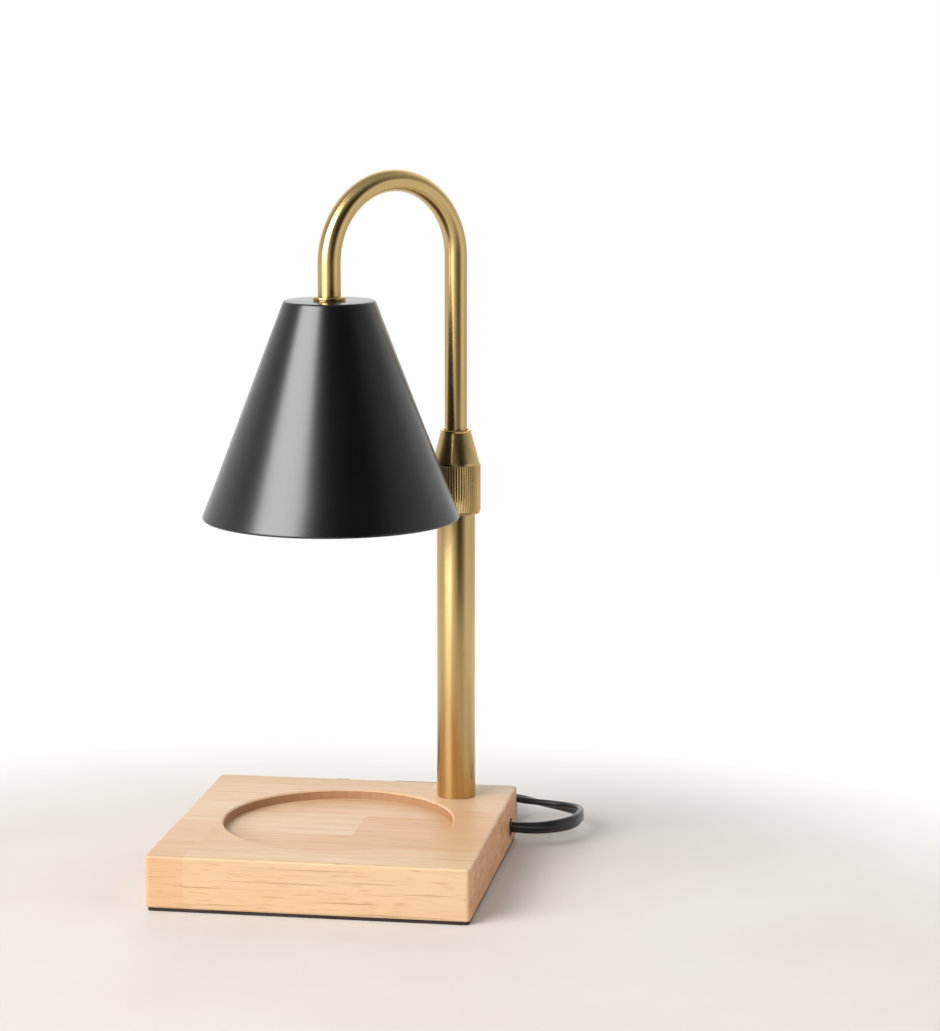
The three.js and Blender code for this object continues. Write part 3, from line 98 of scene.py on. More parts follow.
def skin(name, rings, closed_along=False, caps=True, angle=30):
    """A new piece: quads between rings of points that all have the same count."""
    sides = len(rings[0])
    points = [p for ring in rings for p in ring]
    faces = []
    last = len(rings) if closed_along else len(rings) - 1
    for i in range(last):
        a, b = i * sides, ((i + 1) % len(rings)) * sides
        for j in range(sides):
            k = (j + 1) % sides
            faces.append((a + j, a + k, b + k, b + j))
    if caps and not closed_along:
        faces.append(tuple(reversed(range(sides))))
        faces.append(tuple(range(len(points) - sides, len(points))))
    mesh = bpy.data.meshes.new(name)
    mesh.from_pydata([Vector(p) * MM for p in points], [], faces)
    mesh.validate()
    smooth(mesh, angle)
    if caps or closed_along:
        face_outwards(mesh)
    piece = bpy.data.objects.new(name, mesh)
    bpy.context.scene.collection.objects.link(piece)
    return piece


def unwrap(piece, along, around):
    """UV map over a skin's quads: metres along the piece, turns around it."""
    layer = piece.data.uv_layers.new(name="wrap")
    sides = len(around) - 1
    for face in piece.data.polygons:
        i, j = divmod(face.index, sides)
        if i + 1 >= len(along):
            continue
        corners = ((i, j), (i, j + 1), (i + 1, j + 1), (i + 1, j))
        for loop, (ring, side) in zip(face.loop_indices, corners):
            layer.data[loop].uv = (along[ring], around[side])


def lathe(name, profile, axis, steps, angle=30, wobble=None):
    """Closed outline of (radius, height) pairs turned round an upright axis at (x, y)."""
    rings = []
    for i in range(steps):
        t = TAU * i / steps
        ring = []
        for r, z in profile:
            r = r if wobble is None else r + wobble(t, z)
            ring.append((axis[0] + r * math.cos(t), axis[1] + r * math.sin(t), z))
        rings.append(ring)
    return skin(name, rings, closed_along=True, angle=angle)


def arc(r, z, radius, start, end, count):
    """Points on part of a circle in a lathe's outline, angles in degrees."""
    turns = [math.radians(start + (end - start) * i / count) for i in range(count + 1)]
    return [(r + radius * math.cos(a), z + radius * math.sin(a)) for a in turns]


def wave(angle):
    """From 0 to 1 and back in each turn, for ribs and ridges."""
    return 0.5 - 0.5 * math.cos(angle)


def eased(share):
    return share * share * (3 - 2 * share)


def cut_out(piece, cutter, angle):
    cut = piece.modifiers.new("cut", "BOOLEAN")
    cut.object = cutter
    cut.operation = "DIFFERENCE"
    cut.solver = "EXACT"
    bpy.context.view_layer.update()
    seen = piece.evaluated_get(bpy.context.evaluated_depsgraph_get())
    mesh = bpy.data.meshes.new_from_object(seen)
    piece.modifiers.clear()
    piece.data = mesh
    bpy.data.objects.remove(cutter)
    smooth(mesh, angle)
    return piece


def rounded_ring(x0, x1, y0, y1, radius, inset=0.0, steps=6):
    """Corner-rounded rectangle as (x, y) pairs, drawn in by the inset."""
    r = max(radius - inset, LEAST_CORNER)
    centres = [(x1 - radius, y0 + radius, -90), (x1 - radius, y1 - radius, 0),
               (x0 + radius, y1 - radius, 90), (x0 + radius, y0 + radius, 180)]
    ring = []
    for cx, cy, start in centres:
        for i in range(steps + 1):
            a = math.radians(start + 90 * i / steps)
            ring.append((cx + r * math.cos(a), cy + r * math.sin(a)))
    return ring


def slice_at(x, middle, half, thick, radius):
    """Corner-rounded ring across X, from its middle (y, z), half width and half height."""
    ring = rounded_ring(-half, half, -thick, thick, radius)
    return [(x, middle[0] + a, middle[1] + b) for a, b in ring]


def hoop(centre, across, side, radius, sides, squeeze=1.0):
    """Round ring of a tube or wire, narrower the first way by the squeeze."""
    turns = [TAU * j / sides for j in range(sides)]
    return [centre + across * (radius * squeeze * math.cos(t)) + side * (radius * math.sin(t))
            for t in turns]


# Node materials
def material(name, base, rough, metal=0.0, **sockets):
    """A new material and its shader, with the constant values on the shader's own sockets."""
    mat = bpy.data.materials.new(name)
    mat.use_nodes = True
    shader = mat.node_tree.nodes["Principled BSDF"]
    shader.inputs["Base Color"].default_value = (*base, 1)
    shader.inputs["Roughness"].default_value = rough
    shader.inputs["Metallic"].default_value = metal
    for socket, value in sockets.items():
        shader.inputs[socket.replace("_", " ")].default_value = value
    return mat, shader


def node(mat, kind, **values):
    """A new node, with values for its inputs or for its own settings."""
    made = mat.node_tree.nodes.new(kind)
    for key, value in values.items():
        if key in made.inputs:
            made.inputs[key].default_value = value
        else:
            setattr(made, key, value)
    return made


def link(mat, a, b):
    mat.node_tree.links.new(a, b)


def where(mat, space="Object"):
    return node(mat, "ShaderNodeTexCoord").outputs[space]


def parts_of(mat, vector):
    split = node(mat, "ShaderNodeSeparateXYZ")
    link(mat, vector, split.inputs[0])
    return split.outputs


def maths(mat, operation, a, b=None):
    made = node(mat, "ShaderNodeMath", operation=operation)
    for socket, value in ((made.inputs[0], a), (made.inputs[1], b)):
        if isinstance(value, (int, float)):
            socket.default_value = value
        elif value is not None:
            link(mat, value, socket)
    return made.outputs[0]


def noise(mat, place, scale, stretch=(1, 1, 1), detail=4.0, rough=0.5, distortion=0.0):
    """Noise over a place, which is stretched by a scale for each axis."""
    mapping = node(mat, "ShaderNodeMapping", Scale=stretch)
    link(mat, place, mapping.inputs["Vector"])
    made = node(mat, "ShaderNodeTexNoise", Scale=scale, Detail=detail, Roughness=rough,
                Distortion=distortion)
    link(mat, mapping.outputs["Vector"], made.inputs["Vector"])
    return made.outputs["Fac"]


def spread(mat, value, low, high, start=0.0, end=1.0, **settings):
    """Maps a value between start and end to low and high."""
    made = node(mat, "ShaderNodeMapRange", **settings)
    made.inputs["From Min"].default_value = start
    made.inputs["From Max"].default_value = end
    made.inputs["To Min"].default_value = low
    made.inputs["To Max"].default_value = high
    link(mat, value, made.inputs["Value"])
    return made.outputs["Result"]


def colour_mix(mat, factor, a, b):
    made = node(mat, "ShaderNodeMix", data_type="RGBA")
    for socket, value in ((made.inputs[0], factor), (made.inputs[6], a), (made.inputs[7], b)):
        if isinstance(value, (int, float)):
            socket.default_value = value
        elif isinstance(value, tuple):
            socket.default_value = (*value, 1)
        else:
            link(mat, value, socket)
    return made.outputs[2]


def bumped(mat, shader, height, strength, distance):
    bump = node(mat, "ShaderNodeBump", Strength=strength, Distance=distance)
    link(mat, height, bump.inputs["Height"])
    link(mat, bump.outputs["Normal"], shader.inputs["Normal"])


# Brass: a base colour, and the tones of its streaks and mottling
BRASS = (0.60, 0.43, 0.19)
BRASS_DARK = (0.50, 0.35, 0.14)
BRASS_LIGHT = (0.64, 0.46, 0.205)
BRASS_WARM = (0.55, 0.37, 0.14)
BRASS_ROUGH = (0.22, 0.27)
BRASS_SMEAR = 0.8
QUARTER_TURN = 0.25


def brass_material(name, wrapped=False):
    """Drawn brass, whose polishing lines smear the highlights; wrapped follows a bent tube."""
    mat, shader = material(name, BRASS, BRASS_ROUGH[1], 1.0, Anisotropic=BRASS_SMEAR)
    tangent = node(mat, "ShaderNodeTangent", direction_type="UV_MAP" if wrapped else "RADIAL")
    if wrapped:
        tangent.uv_map = "wrap"
        along, around, _ = parts_of(mat, where(mat, "UV"))
        angle = maths(mat, "MULTIPLY", around, TAU)
        rolled = node(mat, "ShaderNodeCombineXYZ")
        link(mat, maths(mat, "COSINE", angle), rolled.inputs[0])
        link(mat, maths(mat, "SINE", angle), rolled.inputs[1])
        link(mat, along, rolled.inputs[2])
        place = rolled.outputs[0]
        streaks, spots = (1.1, 1.1, 4), (0.5, 0.5, 30)
    else:
        place = where(mat)
        shader.inputs["Anisotropic Rotation"].default_value = QUARTER_TURN
        streaks, spots = (160, 160, 4), (60, 60, 30)
    link(mat, tangent.outputs[0], shader.inputs["Tangent"])
    lines = noise(mat, place, 3, streaks)
    mottle = noise(mat, place, 1, spots)
    link(mat, spread(mat, lines, *BRASS_ROUGH, 0.35, 0.65), shader.inputs["Roughness"])
    toned = colour_mix(mat, spread(mat, lines, 0, 1, 0.3, 0.7), BRASS_DARK, BRASS_LIGHT)
    tint = colour_mix(mat, spread(mat, mottle, 0, 0.25, 0.4, 0.65), toned, BRASS_WARM)
    link(mat, tint, shader.inputs["Base Color"])
    return mat


# Moulded and painted surfaces: scale of their clouds, depth of their grain in metres
CLOUD_SCALE = 35
GRAIN_DEPTH = 0.0002


def plain_material(name, base, rough, metal, grain, strength, vary=0.12, **sockets):
    """Surface with fine grain, and small changes of tone and gloss."""
    mat, shader = material(name, base, rough, metal, **sockets)
    fine = noise(mat, where(mat), grain, detail=2)
    broad = noise(mat, where(mat), CLOUD_SCALE)
    link(mat, spread(mat, broad, rough * (1 - vary), rough * (1 + vary), 0.3, 0.7),
         shader.inputs["Roughness"])
    darker = tuple(c * (1 - vary) for c in base)
    lighter = tuple(min(1, c * (1 + vary)) for c in base)
    tone = colour_mix(mat, spread(mat, broad, 0, 1, 0.3, 0.7), darker, lighter)
    link(mat, tone, shader.inputs["Base Color"])
    bumped(mat, shader, fine, strength, GRAIN_DEPTH)
    return mat


# Wood: strips along X of jointed blocks, in metres, and the first block's start in blocks
STRIP_EDGE = 0.071
STRIP_WIDTH = 0.0305
BLOCK_LENGTH = 0.118
BLOCK_STAGGER = 0.13
BLOCK_START = 0.745
BLOCK_SHIFT = 3
WOOD_COAT = {"Coat_Weight": 0.12, "Coat_Roughness": 0.35}
WOOD_DEPTH = 0.0004
# Reach of the recess in metres: its wall is darkened with painted shade, partly the wall's own
# darker tone
SHADED_RECESS_REACH = 0.0474
WOOD_COLOURS = {
    "base": (0.8, 0.55, 0.35), "dark band": (0.574, 0.392, 0.222),
    "light band": (0.624, 0.452, 0.282), "pink": (0.575, 0.312, 0.160),
    "warm": (0.500, 0.300, 0.125), "soft": (0.645, 0.475, 0.300),
    "fibre": (0.500, 0.278, 0.125), "fleck": (0.450, 0.210, 0.070),
    "pore": (0.300, 0.135, 0.048), "end light": (0.66, 0.335, 0.155),
    "end dark": (0.47, 0.21, 0.085), "routed tone and painted shade": (0.30, 0.135, 0.055),
}


def wood_material():
    """Pale finger-jointed hardwood: strips along X, pores, fine grain, redder end grain, and a
    recess wall darkened with painted shade, partly the wall's own darker tone.
    """
    hue = WOOD_COLOURS
    mat, shader = material("rubberwood", hue["base"], 0.5, **WOOD_COAT)
    here = where(mat)
    x, y, _ = parts_of(mat, here)

    def random_of(*parts):
        joined = node(mat, "ShaderNodeCombineXYZ")
        for i, part in enumerate(parts):
            link(mat, part, joined.inputs[i])
        white = node(mat, "ShaderNodeTexWhiteNoise", noise_dimensions="3D")
        link(mat, joined.outputs[0], white.inputs["Vector"])
        return white.outputs["Value"], white.outputs["Color"]

    strip = maths(mat, "FLOOR",
                  maths(mat, "DIVIDE", maths(mat, "ADD", y, STRIP_EDGE), STRIP_WIDTH))
    shift, _ = random_of(strip)
    staggered = maths(mat, "ADD", x, maths(mat, "MULTIPLY", shift, BLOCK_STAGGER))
    along = maths(mat, "DIVIDE", staggered, BLOCK_LENGTH)
    block = maths(mat, "FLOOR", maths(mat, "ADD", along, BLOCK_START))
    tint, tints = random_of(strip, block)
    tone, _ = random_of(block, strip)
    moved = node(mat, "ShaderNodeVectorMath", operation="MULTIPLY_ADD")
    link(mat, tints, moved.inputs[0])
    moved.inputs[1].default_value = (BLOCK_SHIFT,) * 3
    link(mat, here, moved.inputs[2])

    def grain(scale, stretch, detail, rough=0.55, distortion=0.0):
        return noise(mat, moved.outputs[0], scale, stretch, detail, rough, distortion)

    def layer(under, value, most, start, end, colour):
        return colour_mix(mat, spread(mat, value, 0, most, start, end), under, hue[colour])

    bands = grain(10, (0.35, 4.5, 4.5), 3, 0.5, 0.3)
    fibre = grain(60, (0.25, 9, 9), 4, 0.6)
    pores = grain(150, (0.11, 6, 6), 2, 0.4)
    flecks = grain(150, (0.8, 10, 10), 2, 0.4)
    clouds = grain(14, (0.8, 1.6, 1.6), 3)
    wood = layer(hue["dark band"], bands, 1, 0.36, 0.62, "light band")
    wood = layer(wood, tint, 1, 0.2, 0.8, "pink")
    wood = layer(wood, tone, 0.65, 0.3, 1.0, "warm")
    wood = layer(wood, clouds, 0.35, 0.4, 0.7, "soft")
    wood = layer(wood, fibre, 0.34, 0.5, 0.75, "fibre")
    wood = layer(wood, flecks, 0.42, 0.58, 0.70, "fleck")
    wood = layer(wood, pores, 0.55, 0.64, 0.72, "pore")

    facing_x, _, facing_z = parts_of(mat, where(mat, "Normal"))
    rings = noise(mat, where(mat), 90, (0.3, 1.4, 3.2), 4, 0.6)
    end_grain = layer(hue["end light"], rings, 1, 0.35, 0.7, "end dark")
    end = spread(mat, maths(mat, "ABSOLUTE", facing_x), 0, 1, 0.75, 0.95)
    faces = colour_mix(mat, end, wood, end_grain)

    # Recess wall: upright faces inside the recess are mixed towards a dark brown. This is painted
    # shade, partly the routed wall's own darker tone.
    flat = node(mat, "ShaderNodeVectorMath", operation="MULTIPLY")
    flat.inputs[1].default_value = (1, 1, 0)
    link(mat, here, flat.inputs[0])
    reach = node(mat, "ShaderNodeVectorMath", operation="LENGTH")
    link(mat, flat.outputs[0], reach.inputs[0])
    inside = maths(mat, "LESS_THAN", reach.outputs["Value"], SHADED_RECESS_REACH)
    upright = spread(mat, maths(mat, "ABSOLUTE", facing_z), 0.8, 0, 0.3, 0.7)
    wall = maths(mat, "MULTIPLY", inside, upright)
    link(mat, colour_mix(mat, wall, faces, hue["routed tone and painted shade"]), shader.inputs["Base Color"])
    link(mat, spread(mat, fibre, 0.42, 0.58, 0.35, 0.7), shader.inputs["Roughness"])
    bumped(mat, shader, fibre, 0.12, WOOD_DEPTH)
    return mat


# Finishes: colour, roughness, metal, scale and strength of the grain, change of tone
BRASS_UP = brass_material("brass_drawn_upright")
BRASS_BENT = brass_material("brass_drawn_bent", wrapped=True)
WOOD = wood_material()
PAINT = plain_material("black_satin_paint", (0.0020, 0.0020, 0.0022), 0.26, 0, 1400, 0.08, 0.06,
                       Specular_IOR_Level=0.65)
PLASTIC = plain_material("black_moulded_plastic", (0.016, 0.016, 0.017), 0.42, 0, 1500, 0.35)
JACKET = plain_material("cord_jacket", (0.010, 0.0095, 0.009), 0.33, 0, 700, 0.15)
FOAM = plain_material("foot_pad_foam", (0.020, 0.012, 0.010), 0.85, 0, 1800, 0.8, 0.3)
STEEL = plain_material("zinc_plated_steel", (0.55, 0.56, 0.57), 0.34, 1, 500, 0.12)
NYLON = plain_material("white_nylon", (0.78, 0.76, 0.70), 0.45, 0, 900, 0.2, 0.05)
CERAMIC = plain_material("steatite_ceramic", (0.80, 0.78, 0.72), 0.38, 0, 600, 0.2, 0.05)
SLEEVE = plain_material("woven_glass_sleeve", (0.74, 0.72, 0.66), 0.7, 0, 1100, 0.9, 0.1)
BOARD = plain_material("board_green", (0.02, 0.12, 0.045), 0.4, 0, 900, 0.2)
GLASS, _ = material("lens_glass", (0.96, 0.98, 0.98), 0.06, Transmission_Weight=1.0, IOR=1.5)
MIRROR = plain_material("reflector_coating", (0.86, 0.86, 0.88), 0.12, 1, 60, 0.1, 0.05)
CLOTH = plain_material("tie_cloth", (0.016, 0.016, 0.018), 0.85, 0, 2200, 1.0, 0.3)

FINISH_OF = {
    "wood": WOOD, "foam_pad": FOAM, "polished_brass": BRASS_UP, "zinc_steel": STEEL,
    "black_paint": PAINT, "black_plastic": PLASTIC, "cord_jacket": JACKET,
    "white_nylon": NYLON, "white_insulation": SLEEVE, "glazed_ceramic": CERAMIC,
    "clear_glass": GLASS, "mirror_glass": MIRROR, "board_green": BOARD, "tie_cloth": CLOTH,
}
SLOT_OF = {row["node"]: row["material_slot"] for row in frame["record"]["subparts"]}


def dress(piece, mat, body, slot_name, *replaced):
    """Gives a new piece its material and its body, and hides what it stands for; slot_name is not
    used.
    """
    piece.data.materials.clear()
    piece.data.materials.append(mat)
    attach(piece, body)
    if replaced:
        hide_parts(*replaced)
    return piece


# Cord: flat twin cord along the routes of its solids, smoothed
CORD_THICK = 2.8
CORD_WIDE = 5.6
LOBE = CORD_THICK / 2
LOBE_SWEEP = 284
LOBE_STEPS = 8

# Hank: lowest layer, middle line, first fold's radius, step between loops and last climb
HANK_LIFT = 3.65
HANK_Y = 95.8
HANK_RADIUS = 14.4
HANK_PITCH = 3.4
HANK_LOOPS = 4
HANK_LEFT, HANK_RIGHT = -40.2, 31.2
HANK_CLIMB = 6.25
HANK_STRAIGHT = HANK_LEFT + CORD_WIDE
FOLD_STEPS = 7
WAIST_LEFT = -34.4
WAIST_LENGTH = 24
WAIST_DEPTH = 2.4
WAIST_SHAPE = ((0, 0), (0.36, 1), (0.64, 1), (1, 0))

# Routes as x, y, z and the lean of the flat cord in degrees
TO_DIMMER = [
    (65.3, 45.7, 9.5, 69), (68, 45.7, 9.5, 66), (71.5, 46, 9.4, 60), (77, 47.2, 9.3, 52),
    (82.2, 50, 9.3, 40), (87.1, 54.9, 9.2, 24), (90.3, 61.2, 9.1, 8), (91.4, 68.1, 8.9, 0),
    (91.4, 74.1, 8.5, 0), (90.3, 81, 7.9, 8), (87.1, 87.3, 7.2, 24), (82.2, 92.2, 6.7, 40),
    (75.9, 95.4, 6.7, 58), (69, 96.5, 7.3, 76), (64, 96.5, 8.1, 90), (59, 96.5, 8.8, 90),
    (53, 96.5, 9, 90), (48, 96.5, 8.4, 90), (45, 96.5, 7.2, 90), (42.3, 96.5, 7.2, 90),
]
TO_HANK = [
    (-4.3, 96.5, 7.2, 90), (-7, 96.5, 7.2, 90), (-11, 97.1, 6, 60), (-15, 98.7, 4.4, 26),
    (-18.5, 100.9, 3.7, 4), (-22, 103.5, 3.65, 0), (-25.5, 106, 3.65, 0),
    (-29, 108.3, 3.65, 0), (-32, 109.8, 3.65, 0),
]
TO_PLUG = [
    (-32, 67.8, 9.9, 0), (-29, 68.6, 10.3, 14), (-25.6, 70.3, 10.8, 36),
    (-22, 72.6, 11.3, 58), (-18.5, 74.9, 11.55, 78), (-15, 76, 11.65, 90),
    (-12.3, 76, 11.65, 90),
]
DIMMER_PARTS = 6
HANK_PARTS = 5
LEAST_STEP = 0.01


def hank_route():
    """Oval loops outwards from the first fold, drawn in at the waist, then a climb."""
    waist = [(WAIST_LEFT + WAIST_LENGTH * share, WAIST_DEPTH * drawn)
             for share, drawn in WAIST_SHAPE]
    route = []

    def fold(x, radius, start, climb=0.0):
        for i in range(FOLD_STEPS + 1):
            share = i / FOLD_STEPS
            a = math.radians(start + 180 * share)
            route.append((x + radius * math.cos(a), HANK_Y + radius * math.sin(a),
                          HANK_LIFT + climb * eased(share), 0))

    route.append((HANK_STRAIGHT, HANK_Y + HANK_RADIUS, HANK_LIFT, 0))
    for loop in range(HANK_LOOPS):
        radius = HANK_RADIUS + loop * HANK_PITCH
        wider = radius + HANK_PITCH
        fold(HANK_LEFT, radius, 90)
        route.extend((x, HANK_Y - radius + drawn, HANK_LIFT, 0) for x, drawn in waist)
        fold(HANK_RIGHT, wider, -90)
        route.extend((x, HANK_Y + wider - drawn, HANK_LIFT, 0) for x, drawn in waist[::-1])
    outer = HANK_RADIUS + HANK_LOOPS * HANK_PITCH
    fold(HANK_LEFT, outer, 90, HANK_CLIMB)
    route.append((HANK_STRAIGHT, HANK_Y - outer, HANK_LIFT + HANK_CLIMB, 0))
    return route


def smoothed(route, parts):
    """Centripetal curve through the stations of a route."""
    points = [Vector(station) for station in route]
    points = [points[0] * 2 - points[1], *points, points[-1] * 2 - points[-2]]

    def between(p, q, start, end, u):
        return p * ((end - u) / (end - start)) + q * ((u - start) / (end - start))

    made = []
    for i in range(1, len(points) - 2):
        p = points[i - 1:i + 3]
        t = [0.0]
        for a, b in zip(p, p[1:]):
            t.append(t[-1] + math.sqrt(max((b.xyz - a.xyz).length, LEAST_STEP)))
        for part in range(parts):
            u = t[1] + (t[2] - t[1]) * part / parts
            a = [between(p[k], p[k + 1], t[k], t[k + 1], u) for k in range(3)]
            b = [between(a[k], a[k + 1], t[k], t[k + 2], u) for k in range(2)]
            made.append(between(b[0], b[1], t[1], t[2], u))
    made.append(points[-2])
    return made


def twin_section():
    """Two round lobes side by side with a groove between, as (thin, wide) pairs."""
    ring = []
    for sign in (1, -1):
        for i in range(LOBE_STEPS + 1):
            a = math.radians(LOBE_SWEEP * (i / LOBE_STEPS - 0.5))
            ring.append((sign * LOBE * math.sin(a), sign * (LOBE + LOBE * math.cos(a))))
    return ring


def cord_piece(name, route, parts, exit_point, far_end, lay, pieces, *replaced):
    stations = smoothed(route, parts)
    shape = twin_section()
    rings = []
    for i, station in enumerate(stations):
        before, after = stations[max(i - 1, 0)], stations[min(i + 1, len(stations) - 1)]
        ahead = (after.xyz - before.xyz).normalized()
        level = Vector((-ahead.y, ahead.x, 0)).normalized()
        upright = ahead.cross(level)
        lean = math.radians(station.w)
        wide = upright * math.cos(lean) + level * math.sin(lean)
        thin = wide.cross(ahead)
        rings.append([station.xyz + thin * a + wide * b for a, b in shape])
    piece = skin(name, rings, angle=60)
    dress(piece, JACKET, "base", "cord_jacket", *replaced)


# Tie round the waist of the hank
TIE_LEFT, TIE_RIGHT = -25.4, -19.4
TIE_MIDDLE = (97.5, 3.65)
TIE_HALF = 26.1
TIE_THICK = 3.6
TIE_WALL = 0.5
TIE_CORNER = 0.9
TIE_EDGE = 0.12


def hank_tie():
    def outside(x, grow):
        return slice_at(x, TIE_MIDDLE, TIE_HALF + grow, TIE_THICK + grow, TIE_CORNER)

    def inside(x):
        return slice_at(x, TIE_MIDDLE, TIE_HALF - TIE_WALL, TIE_THICK - TIE_WALL, TIE_WALL)

    stations = (TIE_LEFT, TIE_LEFT + TIE_WALL, TIE_RIGHT - TIE_WALL, TIE_RIGHT)
    rings = [outside(x, grow) for x, grow in zip(stations, (-TIE_EDGE, 0, 0, -TIE_EDGE))]
    rings += [inside(x) for x in stations[::-1]]
    return skin("hank_strap", rings, closed_along=True, angle=50)


# Plug: its place, and its body as distance, half width, half height and corner radius
PLUG_FRONT = 8
PLUG_MIDDLE = (76, 11.65)
PLUG_STATIONS = (
    (0, 7.6, 3.2, 2.4), (0.5, 8.4, 4.0, 2.8), (1.6, 8.8, 4.5, 3.2), (6, 9.2, 4.75, 3.2),
    (9, 9.0, 4.6, 3.2), (11, 8.75, 4.45, 3.2), (14, 8.75, 4.45, 3.2), (16, 9.0, 4.6, 3.2),
    (19, 9.45, 4.85, 3.2), (22.6, 9.5, 4.9, 3.2), (23.5, 9.2, 4.6, 3.0), (24, 8.6, 4.0, 2.6),
)

# Ribbed boot of the plug: place, half sizes at its thin end, their growth, and ribs
BOOT_START = -12
BOOT_LENGTH = 19.9
BOOT_HALF, BOOT_HALF_GROWTH = 3.5, 2.9
BOOT_THICK, BOOT_THICK_GROWTH = 2.15, 1.75
BOOT_FLARE = 1.6
BOOT_RIBS = 7
BOOT_RIBBED = 0.7
BOOT_RIB_DEPTH = 0.35
BOOT_THIN_RIB = 0.8
BOOT_CORNER = 1.7
BOOT_CORNER_SHARE = 0.75
BOOT_STEPS = 60


def plug_body():
    rings = [slice_at(PLUG_FRONT + x, PLUG_MIDDLE, half, thick, radius)
             for x, half, thick, radius in PLUG_STATIONS]
    return skin("plug_housing", rings, angle=35)


def plug_boot():
    rings = []
    for i in range(BOOT_STEPS + 1):
        share = i / BOOT_STEPS
        rib = BOOT_RIB_DEPTH * wave(TAU * BOOT_RIBS * min(share / BOOT_RIBBED, 1))
        flare = share ** BOOT_FLARE
        half = BOOT_HALF + BOOT_HALF_GROWTH * flare - rib
        thick = BOOT_THICK + BOOT_THICK_GROWTH * flare - rib * BOOT_THIN_RIB
        corner = min(BOOT_CORNER, thick * BOOT_CORNER_SHARE)
        rings.append(slice_at(BOOT_START + BOOT_LENGTH * share, PLUG_MIDDLE, half, thick, corner))
    return skin("plug_strain_relief", rings, angle=50)


# Dimmer: sides of its case, corner, and each shell as levels of height and inset
DIMMER_SIDES = (1, 37, 86.5, 106.5)
DIMMER_CORNER = 6
DIMMER_CORNER_STEPS = 8
LOWER_LEVELS = ((0.1, 1.4), (0.25, 0.75), (0.7, 0.25), (1.5, 0.0), (5.7, 0.0), (6.0, 0.25))
UPPER_LEVELS = ((6.12, 0.25), (6.4, 0.0), (10.6, 0.0), (11.4, 0.25), (11.9, 0.8), (12.1, 1.6),
                (12.1, 3.2), (11.8, 3.5), (11.8, 4.2))

# Wheel of the dimmer, the slot for it, and the glands on the line of the cord
WHEEL_AXIS = (19, 92)
WHEEL_RADIUS = 8.15
WHEEL_LOW, WHEEL_HIGH = 3.3, 6.3
WHEEL_STEP = 0.15
WHEEL_CHAMFER = 0.45
WHEEL_RIDGES = 26
WHEEL_RIDGE_DEPTH = 0.35
WHEEL_HUB, WHEEL_WEB, WHEEL_RIM = 1.5, 6.6, 7.0
SLOT_RADIUS = 8.8
SLOT_LOW, SLOT_HIGH = 3.0, 6.6
GLAND_IN_ENDS = (36.2, 42)
GLAND_OUT_ENDS = (1.8, -4)
GLAND_MIDDLE = (96.5, 7.2)
GLAND_HALF, GLAND_THICK = 4.25, 2.85
GLAND_CORNER = 1.6
GLAND_RIBS = 3
GLAND_RIB_DEPTH = 0.3
GLAND_HALF_TAPER, GLAND_THICK_TAPER = 0.35, 0.2
GLAND_STEPS = 24


def dimmer_shell(name, levels):
    rings = []
    for z, inset in levels:
        ring = rounded_ring(*DIMMER_SIDES, DIMMER_CORNER, inset, DIMMER_CORNER_STEPS)
        rings.append([(x, y, z) for x, y in ring])
    shell = skin(name, rings, angle=35)
    slot = lathe("slot", [(AXIS_GAP, SLOT_LOW), (SLOT_RADIUS, SLOT_LOW),
                          (SLOT_RADIUS, SLOT_HIGH), (AXIS_GAP, SLOT_HIGH)],
                 WHEEL_AXIS, steps=64)
    return cut_out(shell, slot, angle=35)


def gland(name, start, end):
    rings = []
    for i in range(GLAND_STEPS + 1):
        share = i / GLAND_STEPS
        rib = GLAND_RIB_DEPTH * wave(TAU * GLAND_RIBS * share)
        off = abs(share - 0.5)
        rings.append(slice_at(start + (end - start) * share, GLAND_MIDDLE,
                              GLAND_HALF - rib - GLAND_HALF_TAPER * off,
                              GLAND_THICK - rib - GLAND_THICK_TAPER * off, GLAND_CORNER))
    return skin(name, rings, angle=50)


def dimmer_wheel():
    low, high = WHEEL_LOW + WHEEL_STEP, WHEEL_HIGH - WHEEL_STEP
    shoulder = WHEEL_RADIUS - WHEEL_CHAMFER

    def ridge(t, z):
        if WHEEL_LOW < z < WHEEL_HIGH:
            return -WHEEL_RIDGE_DEPTH * wave(WHEEL_RIDGES * t)
        return 0

    profile = [(AXIS_GAP, WHEEL_LOW), (WHEEL_HUB, WHEEL_LOW), (WHEEL_WEB, WHEEL_LOW),
               (WHEEL_RIM, low), (shoulder, low), (WHEEL_RADIUS, low + WHEEL_CHAMFER),
               (WHEEL_RADIUS, high - WHEEL_CHAMFER), (shoulder, high), (WHEEL_RIM, high),
               (WHEEL_WEB, WHEEL_HIGH), (WHEEL_HUB, WHEEL_HIGH), (AXIS_GAP, WHEEL_HIGH)]
    return lathe("dimmer_thumb_wheel", profile, WHEEL_AXIS, steps=260, angle=35, wobble=ridge)


tie = dress(hank_tie(), CLOTH, "base", "tie_cloth", "hank_tie")
housing = dress(plug_body(), PLASTIC, "base", "black_plastic", "plug_body")
boot = dress(plug_boot(), PLASTIC, "base", "black_plastic", "plug_boot")
lower = dress(dimmer_shell("dimmer_lower_shell", LOWER_LEVELS), PLASTIC, "base",
              "black_plastic", "dimmer_bottom_case")
upper = dress(dimmer_shell("dimmer_upper_shell", UPPER_LEVELS), PLASTIC, "base",
              "black_plastic", "dimmer_top_case")
gland_in = dress(gland("dimmer_gland_in", *GLAND_IN_ENDS), PLASTIC, "base", "black_plastic")
gland_out = dress(gland("dimmer_gland_out", *GLAND_OUT_ENDS), PLASTIC, "base", "black_plastic")
wheel = dress(dimmer_wheel(), PLASTIC, "wheel", "black_plastic", "dimmer_wheel")

